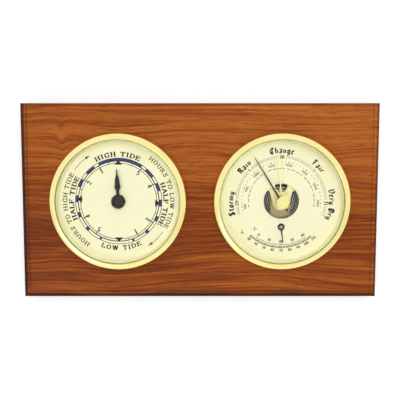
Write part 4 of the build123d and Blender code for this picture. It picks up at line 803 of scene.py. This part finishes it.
ARROW_STARTS = (125.0, 306.0)
ARROW_RADIUS, ARROW_LINE = 46.05, 0.4
ARROW_RUN, ARROW_HEAD, ARROW_TIP = 18, 17, 22
HEAD_OUTER, HEAD_INNER = 47.2, 44.9
TIP_OUTER, TIP_INNER = 46.1, 46.0


def tide_printing():
    """The tide scale: circles, hours that count down to each tide, and blocks that narrow to low tide."""
    ink, blue = Ink(), Ink()
    ink.ring(TIDE_OUTER, THIN_CIRCLE)
    ink.ring(TIDE_MIDDLE, BROAD_CIRCLE)
    ink.ring(TIDE_INNER, THIN_CIRCLE)
    blue.arc(BLOCK_INNER, TIDE_OUTER, *TOP_BLOCK)
    for k in range(BLOCK_PAIRS):
        half_width = (BLOCK_WIDTH - BLOCK_NARROWING * k) / 2
        for side in (-1, 1):
            centre = BLOCKS_MIDDLE + side * (FIRST_BLOCK + BLOCK_STEP * k)
            blue.arc(BLOCK_INNER, TIDE_OUTER, centre - half_width, centre + half_width)
    for end in (180.0, 360.0):
        for hour in range(1, 6):
            angle = end - hour * TIDE_HOUR
            ink.tick(HOUR_TICK_INNER, TIDE_MIDDLE, angle, HOUR_TICK_WIDTH)
            if hour == HALF_TIDE_HOUR:
                ink.wedge(WEDGE_BASE, WEDGE_TIP, angle, WEDGE_WIDTH)
            else:
                ink.words(str(hour), ROMAN, FIGURES, HOUR_FIGURE_CAP, HOUR_FIGURES, angle)
        for half in range(6):
            ink.tick(TIDE_INNER, TIDE_MIDDLE, end - (half + 0.5) * TIDE_HOUR, HALF_HOUR_WIDTH)
        ink.wedge(WEDGE_BASE, WEDGE_TIP, end, WEDGE_WIDTH)
    ink.words("HIGH TIDE", ROMAN, BOLD, TIDE_WORD_CAP, TIDE_WORDS, -1, 1.15)
    ink.words("LOW TIDE", ROMAN, BOLD, TIDE_WORD_CAP, LOW_TIDE_WORDS, 177.4, 1.28, inward=True)
    for angle in (94, 273.5):
        ink.words("HALF TIDE", ROMAN, BOLD, TIDE_WORD_CAP, TIDE_WORDS, angle, 0.93)
    for text, angle in (("HOURS TO LOW TIDE", 78), ("HOURS TO HIGH TIDE", 258)):
        ink.words(text, ROMAN, PLAIN, HOUR_WORD_CAP, HOUR_WORDS, angle, 0.75)
    for start in ARROW_STARTS:
        ink.ring(ARROW_RADIUS, ARROW_LINE, start, start + ARROW_RUN)
        head, tip = ray_at(start + ARROW_HEAD), ray_at(start + ARROW_TIP)
        ink.stroke(np.stack([HEAD_OUTER * head, TIP_OUTER * tip]),
                   np.stack([HEAD_INNER * head, TIP_INNER * tip]))
    ink.piece("tide_dial_ink", TIDE_X, MATERIALS["black_ink"], "black_paint")
    blue.piece("tide_height_blocks", TIDE_X, MATERIALS["blue_ink"], "black_paint")


INCH_TURN = 92.5
HECTOPASCALS_PER_INCH = 33.8639
HECTOPASCAL_TURN = INCH_TURN / HECTOPASCALS_PER_INCH
TOP_HECTOPASCAL = 30 * HECTOPASCALS_PER_INCH
INCH_RUNS = [(-108, -96.5), (-88.5, -49), (-43.5, -4.5), (4.5, 43.5), (49, 88.5), (96.5, 110)]
INCH_INNER, INCH_OUTER = 37.2, 38.8
INCH_PARTS = 50
FINE_LINE = 0.2
INCH_TICK, FIFTH_INCH_TICK = 0.13, 0.28
INCH_FIGURES, INCH_CAP = 36.7, 2.8
HALF_INCH_FIGURES, HALF_INCH_CAP = 37.0, 2.3
HECTOPASCAL_DOTS, HECTOPASCAL_DOT, TENTH_DOT = 33.8, 0.34, 0.55
HECTOPASCAL_FIGURES, HECTOPASCAL_CAP = 30.4, 2.0
DASH_COUNT, DASH_START, DASH_STEP = 24, -100, 8.4
DASH_RADIUS, DASH_WIDTH = 28.2, 0.6
DASH_RUN, SHORT_DASH_RUN = 6.4, 4.0
WEATHER_WORDS = (("Stormy", -93), ("Rain", -47.5), ("Change", 0), ("Fair", 46), ("Very Dry", 94))
WEATHER_CAP, WEATHER_RADIUS = 5.0, 41.2


def pressure_scale(ink, grey):
    """Inches with their fiftieths between the figures, hectopascals as dots, and a circle of dashes."""
    for start, end in INCH_RUNS:
        for radius in (INCH_INNER, INCH_OUTER):
            grey.ring(radius, FINE_LINE, start, end)
        for step in range(-58, 60):
            angle = step * INCH_TURN / INCH_PARTS
            if start <= angle <= end:
                grey.tick(INCH_INNER, INCH_OUTER, angle, INCH_TICK if step % 5 else FIFTH_INCH_TICK)
    for inch in (29, 30, 31):
        ink.words(str(inch), ROMAN, FIGURES, INCH_CAP, INCH_FIGURES, (inch - 30) * INCH_TURN, 0.3)
    for angle in (-INCH_TURN / 2, INCH_TURN / 2):
        ink.words("5", ROMAN, FIGURES, HALF_INCH_CAP, HALF_INCH_FIGURES, angle)
    for pressure in range(978, 1053, 2):
        angle = (pressure - TOP_HECTOPASCAL) * HECTOPASCAL_TURN
        ink.dot(HECTOPASCAL_DOTS, angle, HECTOPASCAL_DOT if pressure % 10 else TENTH_DOT)
    for pressure in range(980, 1051, 10):
        angle = (pressure - TOP_HECTOPASCAL) * HECTOPASCAL_TURN
        ink.words(str(pressure), ROMAN, SMALL_FIGURES, HECTOPASCAL_CAP, HECTOPASCAL_FIGURES, angle, 0.2)
    for k in range(DASH_COUNT):
        start = DASH_START + DASH_STEP * k
        grey.ring(DASH_RADIUS, DASH_WIDTH, start, start + (DASH_RUN if k % 4 else SHORT_DASH_RUN))


TEMPERATURE_INNER, TEMPERATURE_OUTER = 38.9, 40.5
TEMPERATURE_CAP = 2.2
TEMPERATURE_START, TEMPERATURE_STEP, TEMPERATURE_PARTS = 141, 2.0, 40
TEMPERATURE_TICK, FIFTH_TICK = 0.66, 0.95
BAND_START, BAND_END = 139, 222
BAND_LINES = ((38.95, 0.20), (40.475, 0.25))
CELSIUS_DOTS, CELSIUS_FIGURES = 37.6, 35.9
CELSIUS_START, CELSIUS_END = 147.5, 213.5
CELSIUS_PARTS = 32
CELSIUS_LINE, CELSIUS_LINE_WIDTH = 37.625, 0.25
CELSIUS_DOT, FOURTH_DOT = 0.3, 0.45
FAHRENHEIT_FIGURES, FAHRENHEIT_START, FAHRENHEIT_STEP = 43.7, 220.5, 10.2
UNIT_LETTERS = (("C", 34.2, 222.5), ("F", 44.4, 230.5))
UNIT_CAP = 2.3
DEGREE_DROP, DEGREE_TURN = 2.0, 2.6
DEGREE_INNER, DEGREE_OUTER = 0.25, 0.55


def temperature_scale(ink, grey):
    """A band of ticks with Celsius inside and Fahrenheit outside, and the unit letters with their rings."""
    for radius, width in BAND_LINES:
        grey.ring(radius, width, BAND_START, BAND_END)
    for step in range(TEMPERATURE_PARTS + 1):
        angle = TEMPERATURE_START + step * TEMPERATURE_STEP
        ink.tick(TEMPERATURE_INNER, TEMPERATURE_OUTER, angle, TEMPERATURE_TICK if step % 5 else FIFTH_TICK)
    for k in range(5):
        angle = CELSIUS_END - k * (CELSIUS_END - CELSIUS_START) / 4
        ink.words(str(10 * k), ROMAN, FIGURES, TEMPERATURE_CAP, CELSIUS_FIGURES, angle, 0.2, inward=True)
    grey.ring(CELSIUS_LINE, CELSIUS_LINE_WIDTH, CELSIUS_START, CELSIUS_END)
    for step in range(CELSIUS_PARTS + 1):
        angle = CELSIUS_START + step * (CELSIUS_END - CELSIUS_START) / CELSIUS_PARTS
        ink.dot(CELSIUS_DOTS, angle, CELSIUS_DOT if step % 4 else FOURTH_DOT)
    for k in range(9):
        angle = FAHRENHEIT_START - k * FAHRENHEIT_STEP
        ink.words(str(30 + 10 * k), ROMAN, FIGURES, TEMPERATURE_CAP, FAHRENHEIT_FIGURES, angle, 0.2,
                  inward=True)
    for letter, radius, angle in UNIT_LETTERS:
        ink.words(letter, ROMAN, FIGURES, UNIT_CAP, radius, angle, inward=True)
        centre = (radius - DEGREE_DROP) * ray_at(angle + DEGREE_TURN)
        ink.arc(DEGREE_INNER, DEGREE_OUTER, 0, 360, centre)


def barometer_printing():
    """The pressure scale, the weather words and the thermometer's scale at the bottom."""
    ink, grey = Ink(), Ink()
    pressure_scale(ink, grey)
    for text, angle in WEATHER_WORDS:
        ink.words(text, PEN_HAND, UPRIGHT_HAND, WEATHER_CAP, WEATHER_RADIUS, angle, 0.5)
    temperature_scale(ink, grey)
    ink.piece("barometer_dial_ink", BAROMETER_X, MATERIALS["black_ink"], "black_paint")
    grey.piece("barometer_fine_marks", BAROMETER_X, MATERIALS["grey_ink"], "black_paint")


tide_printing()
barometer_printing()


# Stage: floor, wall, light and camera

FLOOR_Z = -1.20
FLOOR_REACH = 6
WALL_Y = 0.001
WALL_REACH, WALL_TOP = 3, 2
MIRRORED_FLOOR = 0.5
WALL_GLOW = 0.50
WORLD_LIGHT = 0.47
KEY_PLACE, KEY_SIZE, KEY_POWER = (0.30, -1.68, 0.64), 1.3, 10.85
FILL_PLACE, FILL_SIZE, FILL_POWER = (-0.95, -2.10, -0.98), 0.68, 6.6
CAMERA_RISE = math.radians(6.0)
CAMERA_DISTANCE = 0.600
SENSOR_WIDTH, FOCAL_LENGTH = 36.0, 63.3
CAMERA_AIM = Vector((0.0, -0.024, 0.0014))


def stage_plate(name, corners, material):
    """One flat four-cornered stage surface."""
    mesh = bpy.data.meshes.new(name)
    mesh.from_pydata(corners, [], [(0, 1, 2, 3)])
    mesh.materials.append(material)
    plate = bpy.data.objects.new(name, mesh)
    bpy.context.scene.collection.objects.link(plate)


def stage_paint(name, level):
    """Matt pale paint with a white glow, whose strength is left to the caller."""
    material, tree, shader = new_material(name)
    set_values(shader, {"Base Color": (level, level, level, 1), "Roughness": 0.9, "Specular IOR Level": 0.0,
                        "Emission Color": (1, 1, 1, 1)})
    return material, tree, shader


def floor_paint():
    """Paint that glows only where metal mirrors it."""
    material, tree, shader = stage_paint("pale_floor", 0.9)
    path = tree.nodes.new("ShaderNodeLightPath").outputs
    mirrored = math_node(tree, "SUBTRACT", path["Is Glossy Ray"], path["Diffuse Depth"], clamp=True)
    glow = math_node(tree, "MULTIPLY", mirrored, MIRRORED_FLOOR)
    tree.links.new(glow, shader.inputs["Emission Strength"])
    return material


def wall_paint():
    """Glowing paint that shows to the camera alone, and only from its front."""
    material, tree, shader = stage_paint("white_wall", 0.8)
    shader.inputs["Emission Strength"].default_value = WALL_GLOW
    camera = tree.nodes.new("ShaderNodeLightPath").outputs["Is Camera Ray"]
    front = math_node(tree, "SUBTRACT", 1.0, tree.nodes.new("ShaderNodeNewGeometry").outputs["Backfacing"])
    clear = tree.nodes.new("ShaderNodeBsdfTransparent").outputs[0]
    mix = tree.nodes.new("ShaderNodeMixShader")
    shown = math_node(tree, "MULTIPLY", camera, front)
    for socket, value in zip(mix.inputs, (shown, clear, shader.outputs[0])):
        tree.links.new(value, socket)
    tree.links.new(mix.outputs[0], tree.nodes["Material Output"].inputs["Surface"])
    return material


def studio_world():
    """A white surround for what the camera, metal and glass see, and a softer one as a source of light."""
    world = bpy.data.worlds.new("studio")
    bpy.context.scene.world = world
    world.use_nodes = True
    tree = world.node_tree
    back = tree.nodes["Background"]
    back.inputs["Color"].default_value = (1, 1, 1, 1)
    path = tree.nodes.new("ShaderNodeLightPath").outputs
    seen = math_node(tree, "ADD", path["Is Camera Ray"], path["Is Glossy Ray"])
    seen = math_node(tree, "ADD", seen, path["Is Transmission Ray"], clamp=True)
    direct = math_node(tree, "SUBTRACT", 1.0, path["Diffuse Depth"], clamp=True)
    seen = math_node(tree, "MULTIPLY", seen, direct)
    tree.links.new(range_node(tree, seen, 0.0, 1.0, WORLD_LIGHT, 1.0), back.inputs["Strength"])


def area_lamp(name, place, size, power):
    """A soft square lamp turned from its place to the origin."""
    lamp = bpy.data.lights.new(name, "AREA")
    lamp.shape = "SQUARE"
    lamp.size = size
    lamp.energy = power
    body = bpy.data.objects.new(name, lamp)
    bpy.context.scene.collection.objects.link(body)
    body.location = place
    body.rotation_euler = (-Vector(place)).to_track_quat("-Z", "Y").to_euler()
    return body


def photo_camera():
    """The photograph's view: straight on and a little from above, on a square picture."""
    lens = bpy.data.cameras.new("photo_camera")
    lens.sensor_fit = "HORIZONTAL"
    lens.sensor_width = SENSOR_WIDTH
    lens.lens = FOCAL_LENGTH
    lens.clip_start = 0.01
    body = bpy.data.objects.new("photo_camera", lens)
    bpy.context.scene.collection.objects.link(body)
    back = Vector((0, -math.cos(CAMERA_RISE), math.sin(CAMERA_RISE)))
    body.location = CAMERA_AIM + CAMERA_DISTANCE * back
    body.rotation_euler = (math.pi / 2 - CAMERA_RISE, 0, 0)
    bpy.context.scene.camera = body


stage_plate("floor", [(-FLOOR_REACH, -FLOOR_REACH, FLOOR_Z), (FLOOR_REACH, -FLOOR_REACH, FLOOR_Z),
                      (FLOOR_REACH, FLOOR_REACH, FLOOR_Z), (-FLOOR_REACH, FLOOR_REACH, FLOOR_Z)],
            floor_paint())
stage_plate("wall", [(-WALL_REACH, WALL_Y, FLOOR_Z), (WALL_REACH, WALL_Y, FLOOR_Z),
                     (WALL_REACH, WALL_Y, WALL_TOP), (-WALL_REACH, WALL_Y, WALL_TOP)],
            wall_paint())
studio_world()
key = area_lamp("key", KEY_PLACE, KEY_SIZE, KEY_POWER)
key.visible_glossy = False
area_lamp("fill", FILL_PLACE, FILL_SIZE, FILL_POWER)
photo_camera()
bpy.context.scene.view_settings.view_transform = "Standard"
